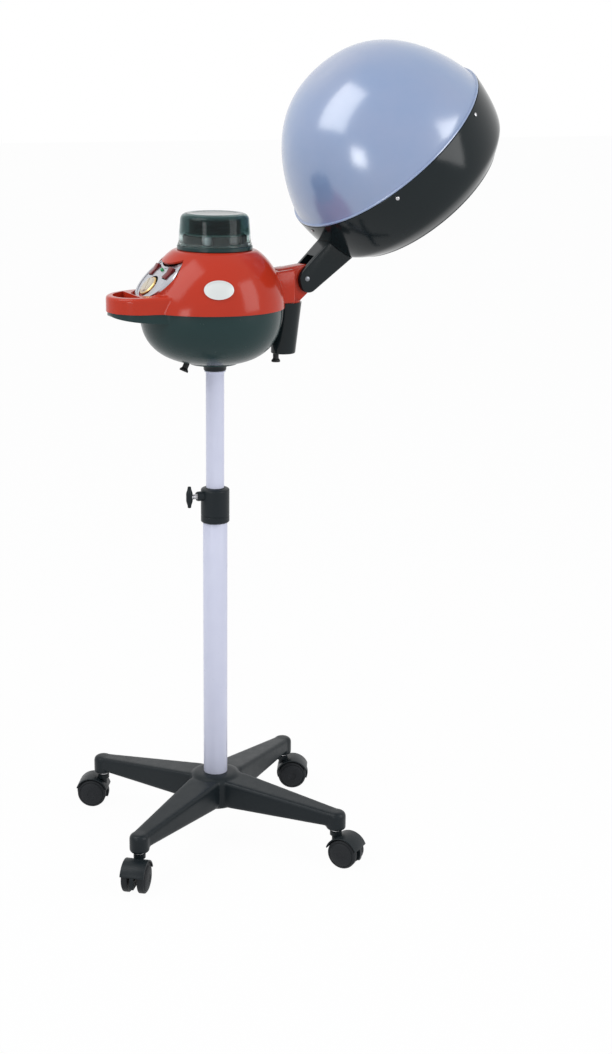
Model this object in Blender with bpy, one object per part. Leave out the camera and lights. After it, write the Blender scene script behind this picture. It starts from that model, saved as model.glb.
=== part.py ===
"""Hood hair steamer on a wheeled stand.

A star base on four twin-wheel casters carries a telescopic mast. On the mast turns the steamer's
body, a round shell with a handle nose, a control panel and a water jar, and at its back hinges the
hood: a ring with a clear dome. The whole is built about the mast's axis, then moved so that the
origin lies on the floor under the middle of its bounding box. Lengths are in metres.
"""

import math

import bmesh
import bpy
from mathutils import Matrix, Vector

# Gap between pieces that touch or slide on each other
GAP = 0.0003

# Facets round a large, a middle and a small turned piece
LARGE_STEPS = 36
MIDDLE_STEPS = 24
SMALL_STEPS = 12

# Casters
WHEEL_RADIUS = 0.024
WHEEL_WIDTH = 0.014
WHEEL_SPACE = 0.014
WHEEL_AXLE_RADIUS = 0.004
WHEEL_STEPS = 18
CASTER_TRAIL = 0.018
CASTER_HOOD_GAP = 0.001
CASTER_HOOD_WALL = 0.0025
CASTER_WEB = 0.006
CASTER_BOSS_RADIUS = 0.0095
STEM_RADIUS = 0.004
STEM_HEAD_RADIUS = 0.0055
STEM_FLANGE_RADIUS = 0.0085
STEM_FLANGE = 0.002
CASTER_HEADINGS = (-28, 150, 232, 307)

# Star base
LEG_COUNT = 4
LEG_TURN = 35.5
LEG_REACH = 0.221
LEG_END_RADIUS = 0.0155
LEG_END_TOP = 0.088
LEG_BOTTOM = 0.058
LEG_ROOT_WIDTH = 0.054
LEG_END_WIDTH = 0.027
LEG_EDGE = 0.007
HUB_RADIUS = 0.041
HUB_TOP = 0.109
HUB_FLOOR = 0.008

# Mast
TUBE_WALL = 0.0015
LOWER_TUBE_RADIUS = 0.019
LOWER_TUBE_TOP = 0.560
UPPER_TUBE_RADIUS = 0.014
UPPER_TUBE_BOTTOM = 0.300
UPPER_TUBE_TOP = 0.790
TUBE_GUIDE_HEIGHT = 0.025
TUBE_INSERT_HEIGHT = 0.030
BASE_BOLT_RADIUS = 0.005
BASE_BOLT_HEAD = 0.009

# Height clamp
BUSH_DEPTH = 0.055
BUSH_HEAD = 0.0172
COLLAR_WALL = 0.003
COLLAR_SKIRT = 0.034
COLLAR_LIP = 0.004
CLAMP_BOSS_RADIUS = 0.0075
CLAMP_BOSS_REACH = 0.031
CLAMP_SCREW_RADIUS = 0.004
CLAMP_BAR_REACH = 0.043
CLAMP_BAR_LENGTH = 0.034
CLAMP_BAR_RADIUS = 0.0045
CLAMP_BAR_TIP = 0.0028

# Body shell. Its heights follow the seam between the shells, and the seam follows the mast's end
SHELL_WALL = 0.0025
SEAM_HEIGHT = UPPER_TUBE_TOP + 0.071
BELL_RADIUS = 0.1055
BOWL_RADIUS = BELL_RADIUS - 0.004
SHELL_STRETCH = 1.13
SHELL_STRETCH_TOP = SEAM_HEIGHT + 0.074
BOWL_DEPTH = 0.086
BOWL_POWER = 2.6
BOWL_FLOOR_RADIUS = 0.034
BELL_TOP = SEAM_HEIGHT + 0.086
BELL_SHELF_RADIUS = 0.060
BELL_HOLE_RADIUS = 0.031
NECK_RADIUS = 0.0172
NECK_FOOT_RADIUS = 0.0205
NECK_BOTTOM = UPPER_TUBE_TOP - 0.0255
NECK_SPIGOT_RADIUS = 0.018
NECK_SPIGOT_TOP = UPPER_TUBE_TOP + 0.013

# Nose with the hand slot
NOSE_CENTRE = -0.120
NOSE_RADIUS = 0.050
NOSE_ROOT_X = -0.060
NOSE_ROOT_HALF = 0.075
NOSE_TIP_TOP = SEAM_HEIGHT + 0.023
NOSE_SLOPE = 0.04
NOSE_EDGE = 0.009
TRAY_INSET = 0.002
SLOT_RADIUS = 0.040
SLOT_BACK = -0.132
SLOT_LOW = SEAM_HEIGHT - 0.061
SLOT_HIGH = SEAM_HEIGHT + 0.139

# Control panel, on a slope that faces away from the hood
PANEL_SLOPE = 38
PANEL_X = -0.068
PANEL_Z = SEAM_HEIGHT + 0.0725
PANEL_BULGE = 1.45
PANEL_REACH = 0.105
PANEL_PLATE = 0.003
PLINTH_DEPTH = 0.016
PANEL_MARGIN = 0.0015
ROCKER_PLACES = (0.0275, -0.0275)
ROCKER_DOWN = 0.0235
ROCKER_LENGTH = 0.020
ROCKER_WIDTH = 0.0124
ROCKER_DEPTH = 0.006
ROCKER_AXIS = 0.001
ROCKER_PROUD = 0.0025
ROCKER_SPACE = 0.0013
ROCKER_TILT = 7
LAMP_DOWN = 0.0215
LAMP_RADIUS = 0.0025
DIAL_DOWN = 0.053
DIAL_RADIUS = 0.0165
DIAL_HEIGHT = 0.007
DIAL_WELL = 0.0030
SPINDLE_RADIUS = 0.003
SPINDLE_DEPTH = 0.013
BOARD_SHIFT = 0.006
BOARD_LENGTH = 0.050
BOARD_WIDTH = 0.056
BOARD_THICKNESS = 0.0016
BADGE_TURN = -109.5
BADGE_HEIGHT = SEAM_HEIGHT + 0.038
BADGE_LENGTH = 0.044
BADGE_DEPTH = 0.027
BADGE_PLATE = 0.0015

# Water jar and boiler
SEAT_RADIUS = 0.0565
SEAT_HEIGHT = 0.006
SEAT_STEP = 0.003
JAR_RADIUS = 0.054
JAR_DRAFT = 0.0025
JAR_WALL = 0.0022
JAR_HEIGHT = 0.0470
JAR_ROUND = 0.010
POST_CIRCLE = 0.0305
POST_RADIUS = 0.0076
POST_HEIGHT = 0.0150
POST_TURN = 105
POST_COUNT = 3
BOILER_PLATE_RADIUS = 0.0440
BOILER_PLATE = 0.003
BOILER_CAP_RADIUS = 0.039
BOILER_CAP_HEIGHT = 0.0200
BOILER_RADIUS = 0.055
BOILER_WALL = 0.0016
BOILER_SHOULDER = SEAM_HEIGHT + 0.059
HEATER_CIRCLE = 0.035
HEATER_RADIUS = 0.0045
PIPE_RADIUS = 0.007
PIPE_WALL = 0.0012
PIPE_HEIGHT = SEAM_HEIGHT + 0.034

# Power inlet on the far side, drain plugs and drip cup
INLET_HEIGHT = SEAM_HEIGHT - 0.029
INLET_FACE = 0.108
INLET_WIDTH = 0.048
INLET_TALL = 0.024
INLET_FLANGE = 0.003
INLET_BODY_WIDTH = 0.028
INLET_BODY_TALL = 0.020
INLET_BODY_DEPTH = 0.024
INLET_RECESS_DEPTH = 0.016
INLET_RECESS_WALL = 0.002
INLET_RECESS_CORNER = 0.004
INLET_PIN_WIDTH = 0.002
INLET_PIN_TALL = 0.004
INLET_PIN_BACK = 0.003
INLET_PINS = ((-0.007, -0.002), (0, 0.002), (0.007, -0.002))
DRAIN_CIRCLE = 0.046
DRAIN_TURN = 180
DRAIN_LEAN = 25
PLUG_RADIUS = 0.0045
PLUG_FLARE = 0.0068
PLUG_LENGTH = 0.013
CUP_X = 0.1195
CUP_TOP_RADIUS = 0.0230
CUP_FLOOR_RADIUS = 0.0190
CUP_LEAN = 0.0055
CUP_HEIGHT = 0.079
CUP_WALL = 0.002
CUP_BOWL_SPACE = 0.0015
SPIGOT_HEIGHT = 0.008

# Hinge of the hood
HINGE_X = 0.145
HINGE_Z = SEAM_HEIGHT + 0.0375
HINGE_PIN_RADIUS = 0.004
BRACKET_BOTTOM = SEAM_HEIGHT + 0.002
BRACKET_TOP = SEAM_HEIGHT + 0.0535
BRACKET_NOSE = 0.0205
BRACKET_ROOT_WIDTH = 0.052
BRACKET_TONGUE_WIDTH = 0.023
BRACKET_ROOT_END = 0.1225
BRACKET_EDGE = 0.004
CHEEK_WIDTH = 0.008
ARM_TOP = 0.0150
ARM_SHOULDER = 0.012
ARM_HEEL_RADIUS = 0.015
ARM_HEEL_DROP = 0.0077
ARM_HEEL_SHIFT = 0.0013
ARM_FLARE = 2.5
ARM_EDGE = 0.003
ARM_RING_REACH = 0.004
ARM_WEB_START = 0.032
ARM_GAP_REACH = 0.060
PIN_PROUD = 0.0006

# Hood, as it lies when it is level
RING_TOP_RADIUS = 0.1735
HOOD_TILT = 39
HOOD_REACH = RING_TOP_RADIUS + 0.0566
HOOD_RISE = 0.0642
HOOD_LEAN = 4
DOME_RADIUS = RING_TOP_RADIUS - 0.0033
DOME_HEIGHT = DOME_RADIUS - 0.0164
DOME_CONE_POWER = 1.31
DOME_CROWN_POWER = 2.61
DOME_WALL = 0.003
DOME_FLANGE_RADIUS = RING_TOP_RADIUS - GAP
DOME_FLANGE = 0.003
RING_SHOULDER_RADIUS = RING_TOP_RADIUS - 0.0115
RING_SHOULDER_DEPTH = 0.0765
RING_MOUTH_RADIUS = RING_TOP_RADIUS - 0.0335
RING_HEIGHT = 0.0965
RING_WALL = 0.003
RING_LIP = 0.006
DOME_SKIRT_RADIUS = RING_TOP_RADIUS - RING_WALL - 0.0008
DOME_SKIRT_DEPTH = 0.014
DOME_SCREW_COUNT = 6
DOME_SCREW_TURN = 0
DOME_SCREW_DROP = 0.0085
DOME_SCREW_RADIUS = 0.0029
DOME_SCREW_HEAD = 0.0018
DOME_SCREW_SHANK = 0.0015
DOME_SCREW_LENGTH = 0.008
NOZZLE_RADIUS = 0.012
NOZZLE_WALL = 0.002
NOZZLE_ROOT = 0.020
NOZZLE_LENGTH = 0.030
NOZZLE_FLANGE = 0.018
NOZZLE_CONE = 0.003


def material(name, colour, roughness, metallic=0.0, alpha=1.0):
    """A plain surface of one colour."""
    made = bpy.data.materials.new(name)
    made.use_nodes = True
    shader = made.node_tree.nodes["Principled BSDF"]
    shader.inputs["Base Color"].default_value = (*colour, 1.0)
    shader.inputs["Roughness"].default_value = roughness
    shader.inputs["Metallic"].default_value = metallic
    shader.inputs["Alpha"].default_value = alpha
    made.diffuse_color = (*colour, alpha)
    return made


def pivot(name, parent=None, location=(0, 0, 0), rotation=(0, 0, 0)):
    """An empty that carries pieces; its rotation is in degrees."""
    made = bpy.data.objects.new(name, None)
    made.parent = parent
    made.location = location
    made.rotation_euler = [math.radians(angle) for angle in rotation]
    bpy.context.scene.collection.objects.link(made)
    return made


def piece(name, shape, surface, parent=None, location=(0, 0, 0), rotation=(0, 0, 0)):
    """An object from a shape made with bmesh, shaded smooth over its round faces."""
    mesh = bpy.data.meshes.new(name)
    bmesh.ops.recalc_face_normals(shape, faces=shape.faces)
    shape.to_mesh(mesh)
    shape.free()
    mesh.shade_smooth()
    mesh.set_sharp_from_angle(angle=math.radians(35))
    if surface:
        mesh.materials.append(surface)
    made = bpy.data.objects.new(name, mesh)
    made.parent = parent
    made.location = location
    made.rotation_euler = [math.radians(angle) for angle in rotation]
    bpy.context.scene.collection.objects.link(made)
    return made


def tool(name, shape, parent=None, location=(0, 0, 0), rotation=(0, 0, 0)):
    """A shape that only cuts or joins, and is left out of the model."""
    made = piece(name, shape, None, parent, location, rotation)
    made.hide_render = True
    made.display_type = "WIRE"
    return made


def combine(target, other, operation):
    """Keeps a Boolean of the target with the other shape on the target."""
    step = target.modifiers.new(f"{operation.lower()} {other.name}", "BOOLEAN")
    step.operation = operation
    step.solver = "EXACT"
    step.object = other


def cut(target, *others):
    for other in others:
        combine(target, other, "DIFFERENCE")


def join(target, *others):
    for other in others:
        combine(target, other, "UNION")


def round_edges(target, width, segments=2, angle=40):
    """A bevel on the target's sharp edges."""
    step = target.modifiers.new("rounded edges", "BEVEL")
    step.width = width
    step.segments = segments
    step.limit_method = "ANGLE"
    step.angle_limit = math.radians(angle)


def turned(profile, steps=MIDDLE_STEPS, turn=0.0):
    """A profile of (radius, height) points turned about Z, closed on itself unless it ends on the axis."""
    shape = bmesh.new()
    points = [shape.verts.new((radius, 0, height)) for radius, height in profile]
    edges = [shape.edges.new(pair) for pair in zip(points, points[1:])]
    if profile[0][0] > 0:
        edges.append(shape.edges.new((points[-1], points[0])))
    bmesh.ops.spin(
        shape,
        geom=points + edges,
        axis=(0, 0, 1),
        cent=(0, 0, 0),
        angle=math.tau,
        steps=steps,
        use_merge=True,
    )
    bmesh.ops.remove_doubles(shape, verts=shape.verts, dist=1e-6)
    for first, second in (profile[:2], profile[:-3:-1]):
        if first[0] == 0 and first[1] == second[1]:
            middle = Vector((0, 0, first[1]))
            hub = [vertex for vertex in shape.verts if (vertex.co - middle).length < 1e-6]
            bmesh.ops.dissolve_verts(shape, verts=hub)
    bmesh.ops.rotate(shape, verts=shape.verts, cent=(0, 0, 0), matrix=Matrix.Rotation(turn, 3, "Z"))
    return shape


def rod(radius, low, high, steps=SMALL_STEPS):
    """A plain cylinder along Z."""
    return turned([(0, low), (radius, low), (radius, high), (0, high)], steps)


def tube(outer, inner, low, high, steps=MIDDLE_STEPS):
    """A plain tube along Z."""
    return turned([(inner, low), (outer, low), (outer, high), (inner, high)], steps)


def prism(outline, low, high):
    """A flat outline of (x, y) points drawn out along Z."""
    shape = bmesh.new()
    face = shape.faces.new([shape.verts.new((x, y, low)) for x, y in outline])
    drawn = bmesh.ops.extrude_face_region(shape, geom=[face])
    raised = [item for item in drawn["geom"] if isinstance(item, bmesh.types.BMVert)]
    bmesh.ops.translate(shape, verts=raised, vec=(0, 0, high - low))
    return shape


def side_prism(outline, width):
    """A flat outline of (x, z) points drawn out along Y, half to each side."""
    shape = prism([(x, z) for x, z in outline], -width / 2, width / 2)
    bmesh.ops.rotate(shape, verts=shape.verts, cent=(0, 0, 0), matrix=Matrix.Rotation(math.pi / 2, 3, "X"))
    return shape


def block(size, centre=(0, 0, 0)):
    """A box with its middle at the given place."""
    shape = bmesh.new()
    bmesh.ops.create_cube(shape, size=1)
    bmesh.ops.scale(shape, vec=size, verts=shape.verts)
    bmesh.ops.translate(shape, vec=centre, verts=shape.verts)
    return shape


def stacked(rings):
    """A closed body through rings of equally many (x, y, z) points."""
    shape = bmesh.new()
    rows = [[shape.verts.new(point) for point in ring] for ring in rings]
    for lower, upper in zip(rows, rows[1:]):
        for i in range(len(lower)):
            shape.faces.new((lower[i - 1], lower[i], upper[i], upper[i - 1]))
    shape.faces.new(rows[0])
    shape.faces.new(rows[-1])
    return shape


def laid_along(shape, axis):
    """The shape with its Z axis turned to lie along X or Y."""
    turn = {"X": Matrix.Rotation(math.pi / 2, 3, "Y"), "Y": Matrix.Rotation(-math.pi / 2, 3, "X")}[axis]
    bmesh.ops.rotate(shape, verts=shape.verts, cent=(0, 0, 0), matrix=turn)
    return shape


def repeated(shape, count, radius, first_turn=0.0):
    """Copies of the shape round Z at the radius, as separate bodies of one cutter; turns in degrees."""
    mesh = bpy.data.meshes.new("repeated")
    shape.to_mesh(mesh)
    shape.free()
    made = bmesh.new()
    for index in range(count):
        before = len(made.verts)
        made.from_mesh(mesh)
        made.verts.ensure_lookup_table()
        turn = Matrix.Rotation(math.radians(first_turn + 360 / count * index), 4, "Z")
        bmesh.ops.transform(made, matrix=turn @ Matrix.Translation((radius, 0, 0)), verts=made.verts[before:])
    bpy.data.meshes.remove(mesh)
    return made


def arc(centre_x, centre_y, radius, start, end, steps):
    """Points on an arc, both ends included; angles in degrees."""
    angles = [math.radians(start + (end - start) * i / steps) for i in range(steps + 1)]
    return [(centre_x + radius * math.cos(a), centre_y + radius * math.sin(a)) for a in angles]


def bezier(start, first, second, end, steps):
    """Points on a cubic curve, without its last one."""
    points = []
    for i in range(steps):
        t = i / steps
        weights = ((1 - t) ** 3, 3 * t * (1 - t) ** 2, 3 * t * t * (1 - t), t**3)
        pairs = list(zip(weights, (start, first, second, end)))
        points.append(tuple(sum(weight * point[k] for weight, point in pairs) for k in (0, 1)))
    return points


def shifted(outline, distance, closed=False):
    """The outline moved sideways by the distance, to the right of the way that its points run."""
    moved = []
    count = len(outline)
    for i, point in enumerate(outline):
        sides = []
        for first, second in ((i - 1, i), (i, i + 1)):
            if closed or (first >= 0 and second < count):
                way = (Vector(outline[second % count]) - Vector(outline[first % count])).normalized()
                sides.append(Vector((way.y, -way.x)))
        middle = sum(sides, Vector((0, 0))).normalized()
        reach = distance / max(middle.dot(sides[0]), 0.4)
        moved.append((point[0] + middle.x * reach, point[1] + middle.y * reach))
    return moved


def mirrored(half):
    """A closed outline from its half at y > 0, whose ends lie on the X axis."""
    return half + [(x, -y) for x, y in reversed(half) if y > 1e-6]


# ---------------------------------------------------------------- surfaces

BLACK_PLASTIC = dict(colour=(0.012, 0.016, 0.017), roughness=0.32)
DARK_GREEN = dict(colour=(0.016, 0.042, 0.040), roughness=0.18)
RED_PLASTIC = dict(colour=(0.56, 0.052, 0.028), roughness=0.2)
LILAC_PAINT = dict(colour=(0.60, 0.61, 0.72), roughness=0.35)
STEEL = dict(colour=(0.55, 0.55, 0.56), roughness=0.3, metallic=1.0)
CHROME = dict(colour=(0.72, 0.73, 0.75), roughness=0.12, metallic=1.0)


# ---------------------------------------------------------------- casters


def caster_housing(name, carrier):
    """A web between the two wheels, a hood over them and the boss that the stem turns in."""
    surface = material(name, **BLACK_PLASTIC)
    hood_inner = WHEEL_RADIUS + CASTER_HOOD_GAP
    hood_outer = hood_inner + CASTER_HOOD_WALL
    web_low = WHEEL_RADIUS / 2
    web_angle = math.degrees(math.asin((WHEEL_RADIUS - web_low) / hood_outer))
    web = arc(CASTER_TRAIL, WHEEL_RADIUS, hood_outer - GAP, -web_angle, 180 + web_angle, 14)
    hood = arc(CASTER_TRAIL, WHEEL_RADIUS, hood_outer, 15, 200, 9)
    hood += arc(CASTER_TRAIL, WHEEL_RADIUS, hood_inner, 200, 15, 9)
    boss_top = LEG_BOTTOM - STEM_FLANGE - 2 * GAP
    boss_low = WHEEL_RADIUS + hood_inner - 0.0012
    housing = piece(name, side_prism(web, CASTER_WEB), surface, carrier)
    hood_width = WHEEL_SPACE + 2 * WHEEL_WIDTH - 0.004
    join(
        housing,
        tool(f"{name} hood", side_prism(hood, hood_width), carrier),
        tool(f"{name} boss", rod(CASTER_BOSS_RADIUS, boss_low, boss_top, 14), carrier),
        tool(f"{name} socket", rod(WHEEL_SPACE / 2 - 2 * GAP, WHEEL_RADIUS, boss_low + 0.004), carrier),
    )
    axle_hole = laid_along(rod(WHEEL_AXLE_RADIUS + GAP, -CASTER_WEB, CASTER_WEB), "Y")
    cut(
        housing,
        tool(f"{name} axle hole", axle_hole, carrier, (CASTER_TRAIL, 0, WHEEL_RADIUS)),
        tool(f"{name} stem hole", rod(STEM_RADIUS + GAP, WHEEL_RADIUS + 0.004, LEG_BOTTOM), carrier),
    )


def caster_stem(name, carrier):
    """The steel stem: its head sits in the leg, its flange under it, and the housing turns on its shank."""
    flange_top = LEG_BOTTOM - GAP
    flange_low = flange_top - STEM_FLANGE
    profile = [
        (0, WHEEL_RADIUS + 0.0045),
        (STEM_RADIUS, WHEEL_RADIUS + 0.0045),
        (STEM_RADIUS, flange_low),
        (STEM_FLANGE_RADIUS, flange_low),
        (STEM_FLANGE_RADIUS, flange_top),
        (STEM_HEAD_RADIUS, flange_top),
        (STEM_HEAD_RADIUS, LEG_END_TOP - 0.010),
        (0, LEG_END_TOP - 0.010),
    ]
    piece(name, turned(profile, SMALL_STEPS), material(name, **STEEL), carrier)


def caster_wheels(name, carrier):
    """Two domed wheels pressed on one axle, which turns in the housing's web."""
    inner = WHEEL_SPACE / 2
    outer = inner + WHEEL_WIDTH
    half = [
        (WHEEL_AXLE_RADIUS, inner),
        (WHEEL_RADIUS - 0.0015, inner),
        (WHEEL_RADIUS, inner + 0.0015),
        (WHEEL_RADIUS, outer - 0.006),
        (WHEEL_RADIUS - 0.0015, outer - 0.003),
        (WHEEL_RADIUS * 0.62, outer),
        (0, outer),
    ]
    profile = half[::-1] + [(radius, -along) for radius, along in half]
    wheels = turned(profile, WHEEL_STEPS, math.pi / WHEEL_STEPS)
    bmesh.ops.rotate(wheels, verts=wheels.verts, cent=(0, 0, 0), matrix=Matrix.Rotation(-math.pi / 2, 3, "Z"))
    piece(name, laid_along(wheels, "Y"), material(name, **BLACK_PLASTIC), carrier)


def add_casters(stand):
    for index, heading in enumerate(CASTER_HEADINGS):
        number = index + 1
        angle = math.radians(LEG_TURN + 360 / LEG_COUNT * index)
        place = (LEG_REACH * math.cos(angle), LEG_REACH * math.sin(angle), 0)
        swivel = pivot(f"caster swivel {number}", stand, place, (0, 0, heading))
        caster_stem(f"caster_stem_{number}", swivel)
        caster_housing(f"caster_housing_{number}", swivel)
        axle = pivot(f"caster axle {number}", swivel, (CASTER_TRAIL, 0, WHEEL_RADIUS))
        caster_wheels(f"caster_wheels_{number}", axle)


# ---------------------------------------------------------------- star base and mast


def leg_section(distance, width, low, high):
    """A leg's cross-section with cut corners, at a distance from the hub's axis."""
    half = width / 2
    corners = [
        (-half, low),
        (half, low),
        (half, high - LEG_EDGE),
        (half - LEG_EDGE * 0.35, high - LEG_EDGE * 0.35),
        (half - LEG_EDGE * 1.2, high),
        (-half + LEG_EDGE * 1.2, high),
        (-half + LEG_EDGE * 0.35, high - LEG_EDGE * 0.35),
        (-half, high - LEG_EDGE),
    ]
    return [(distance, across, height) for across, height in corners]


def star_base(stand):
    """One moulding: a hub with four tapering legs, each ending in a round boss for a caster's stem."""
    hub_low = LEG_BOTTOM - 0.002
    edge = 0.004
    profile = [
        (0, hub_low),
        (HUB_RADIUS, hub_low),
        (HUB_RADIUS, HUB_TOP - 0.012),
        (HUB_RADIUS - edge, HUB_TOP - 0.004),
        (HUB_RADIUS - 3 * edge, HUB_TOP),
        (0, HUB_TOP),
    ]
    base = piece("star_base", turned(profile, MIDDLE_STEPS), material("star_base", **BLACK_PLASTIC), stand)
    boss = [
        (0, LEG_BOTTOM),
        (LEG_END_RADIUS, LEG_BOTTOM),
        (LEG_END_RADIUS, LEG_END_TOP - 0.008),
        (LEG_END_RADIUS - 0.0025, LEG_END_TOP - 0.0025),
        (LEG_END_RADIUS - 0.008, LEG_END_TOP),
        (0, LEG_END_TOP),
    ]
    for index in range(LEG_COUNT):
        turn = (0, 0, LEG_TURN + 360 / LEG_COUNT * index)
        carrier = pivot(f"leg {index + 1}", stand, (0, 0, 0), turn)
        sections = [
            leg_section(0.012, LEG_ROOT_WIDTH, LEG_BOTTOM + 0.001, HUB_TOP - 0.004),
            leg_section(0.045, LEG_ROOT_WIDTH * 0.9, LEG_BOTTOM + 0.001, HUB_TOP - 0.005),
            leg_section(LEG_REACH, LEG_END_WIDTH, LEG_BOTTOM + 0.006, LEG_END_TOP - 0.001),
        ]
        join(
            base,
            tool(f"leg {index + 1} beam", stacked(sections), carrier),
            tool(f"leg {index + 1} boss", turned(boss, 16), carrier, (LEG_REACH, 0, 0)),
        )
    hole = rod(STEM_HEAD_RADIUS + GAP, LEG_BOTTOM - 0.01, LEG_END_TOP - 0.010 + GAP)
    socket = rod(LOWER_TUBE_RADIUS + GAP, hub_low + HUB_FLOOR, HUB_TOP + 0.01, MIDDLE_STEPS)
    cut(base, tool("mast socket", socket, stand))
    cut(base, tool("base bolt hole", rod(BASE_BOLT_RADIUS + GAP, 0.04, HUB_TOP), stand))
    cut(base, tool("stem holes", repeated(hole, LEG_COUNT, LEG_REACH, LEG_TURN), stand))


def base_fastening(stand):
    """The bolt that draws the mast down into the hub, and the threaded insert in the tube that it grips."""
    floor_low = LEG_BOTTOM - 0.002
    insert_low = floor_low + HUB_FLOOR + GAP
    insert_top = insert_low + TUBE_INSERT_HEIGHT
    inside = LOWER_TUBE_RADIUS - TUBE_WALL - GAP
    bolt_hole = BASE_BOLT_RADIUS + GAP
    insert = tube(inside, bolt_hole, insert_low, insert_top, 24)
    piece("tube_insert", insert, material("tube_insert", **STEEL), stand)
    profile = [
        (0, floor_low - GAP - 0.006),
        (BASE_BOLT_HEAD, floor_low - GAP - 0.006),
        (BASE_BOLT_HEAD, floor_low - GAP),
        (BASE_BOLT_RADIUS, floor_low - GAP),
        (BASE_BOLT_RADIUS, insert_top - 0.002),
        (0, insert_top - 0.002),
    ]
    piece("base_bolt", turned(profile, 12), material("base_bolt", **STEEL), stand)


def lower_tube(stand):
    low = LEG_BOTTOM - 0.002 + HUB_FLOOR + GAP
    shape = tube(LOWER_TUBE_RADIUS, LOWER_TUBE_RADIUS - TUBE_WALL, low, LOWER_TUBE_TOP)
    piece("lower_tube", shape, material("lower_tube", **LILAC_PAINT), stand)


def clamp_height():
    """Height of the clamp screw's axis, in the middle of the bush's head."""
    return LOWER_TUBE_TOP + GAP + BUSH_HEAD / 2


def guide_bush(stand):
    """A plastic bush in the lower tube's mouth, in which the upper tube slides."""
    hole = UPPER_TUBE_RADIUS + GAP
    inside = LOWER_TUBE_RADIUS - TUBE_WALL - GAP
    head_low = LOWER_TUBE_TOP + GAP
    profile = [
        (hole, LOWER_TUBE_TOP - BUSH_DEPTH),
        (inside, LOWER_TUBE_TOP - BUSH_DEPTH),
        (inside, head_low),
        (LOWER_TUBE_RADIUS, head_low),
        (LOWER_TUBE_RADIUS, head_low + BUSH_HEAD),
        (hole, head_low + BUSH_HEAD),
    ]
    bush = piece("guide_bush", turned(profile), material("guide_bush", (0.03, 0.03, 0.032), 0.5), stand)
    screw_hole = laid_along(rod(CLAMP_SCREW_RADIUS + GAP, -0.03, 0), "X")
    cut(bush, tool("bush screw hole", screw_hole, stand, (0, 0, clamp_height())))


def clamp_collar(stand):
    """The black collar round the joint of the tubes, with the clamp screw's boss on its side."""
    inside = LOWER_TUBE_RADIUS + GAP
    outside = inside + COLLAR_WALL
    low = LOWER_TUBE_TOP - COLLAR_SKIRT
    lip = LOWER_TUBE_TOP + 2 * GAP + BUSH_HEAD
    top = lip + COLLAR_LIP
    chamfer = 0.0015
    profile = [
        (inside, low),
        (outside - chamfer, low),
        (outside, low + chamfer),
        (outside, lip - chamfer),
        (outside - 2 * chamfer, top),
        (UPPER_TUBE_RADIUS + 2 * GAP, top),
        (UPPER_TUBE_RADIUS + 2 * GAP, lip),
        (inside, lip),
    ]
    collar = piece("clamp_collar", turned(profile), material("clamp_collar", **BLACK_PLASTIC), stand)
    height = clamp_height()
    boss = laid_along(rod(CLAMP_BOSS_RADIUS, -CLAMP_BOSS_REACH, -inside - GAP, 20), "X")
    hole = laid_along(rod(CLAMP_SCREW_RADIUS + GAP, -CLAMP_BOSS_REACH - 0.01, -0.01), "X")
    join(collar, tool("collar boss", boss, stand, (0, 0, height)))
    cut(collar, tool("collar screw hole", hole, stand, (0, 0, height)))


def clamp_handle(stand):
    """The clamp screw and its tapered cross bar, both turning about the screw's axis."""
    axis = pivot("clamp axis", stand, (0, 0, clamp_height()))
    screw = laid_along(rod(CLAMP_SCREW_RADIUS, -CLAMP_BAR_REACH, -UPPER_TUBE_RADIUS - GAP, SMALL_STEPS), "X")
    piece("clamp_screw", screw, material("clamp_screw", **STEEL), axis)
    half = CLAMP_BAR_LENGTH / 2
    profile = [
        (0, -half),
        (CLAMP_BAR_TIP * 0.7, -half),
        (CLAMP_BAR_TIP, -half + 0.0012),
        (CLAMP_BAR_RADIUS + 0.0007, -0.006),
        (CLAMP_BAR_RADIUS + 0.0007, 0.006),
        (CLAMP_BAR_TIP, half - 0.0012),
        (CLAMP_BAR_TIP * 0.7, half),
        (0, half),
    ]
    surface = material("clamp_bar", **BLACK_PLASTIC)
    bar = piece("clamp_bar", turned(profile, SMALL_STEPS), surface, axis, (-CLAMP_BAR_REACH, 0, 0))
    hole = laid_along(rod(CLAMP_SCREW_RADIUS + GAP, -CLAMP_BAR_REACH - GAP, -0.02), "X")
    cut(bar, tool("clamp bar hole", hole, axis))


def mast(stand):
    """The upper tube and the plastic guide on its lower end, sliding together."""
    slide = pivot("mast slide", stand)
    inside = UPPER_TUBE_RADIUS - TUBE_WALL
    shape = tube(UPPER_TUBE_RADIUS, inside, UPPER_TUBE_BOTTOM, UPPER_TUBE_TOP)
    piece("upper_tube", shape, material("upper_tube", **LILAC_PAINT), slide)
    outside = LOWER_TUBE_RADIUS - TUBE_WALL - GAP
    seat = UPPER_TUBE_RADIUS + GAP
    floor = UPPER_TUBE_BOTTOM - GAP
    profile = [
        (inside - 0.003, floor - 0.004),
        (outside - 0.002, floor - 0.004),
        (outside, floor - 0.002),
        (outside, floor + TUBE_GUIDE_HEIGHT),
        (seat, floor + TUBE_GUIDE_HEIGHT),
        (seat, floor),
        (inside - 0.003, floor),
    ]
    piece("tube_guide", turned(profile), material("tube_guide", (0.03, 0.03, 0.032), 0.5), slide)
    return slide


# ---------------------------------------------------------------- body shell


def bell_side():
    """The bell's outer outline, from the shelf under the jar down to the seam."""
    shoulder = (BELL_SHELF_RADIUS + 0.004, BELL_TOP - 0.0015)
    foot = (BELL_RADIUS, SEAM_HEIGHT + GAP)
    slope = (BELL_RADIUS - 0.0175, BELL_TOP - 0.018)
    waist = (BELL_RADIUS, SEAM_HEIGHT + 0.036)
    return [(BELL_SHELF_RADIUS, BELL_TOP)] + bezier(shoulder, slope, waist, foot, 7) + [foot]


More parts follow.
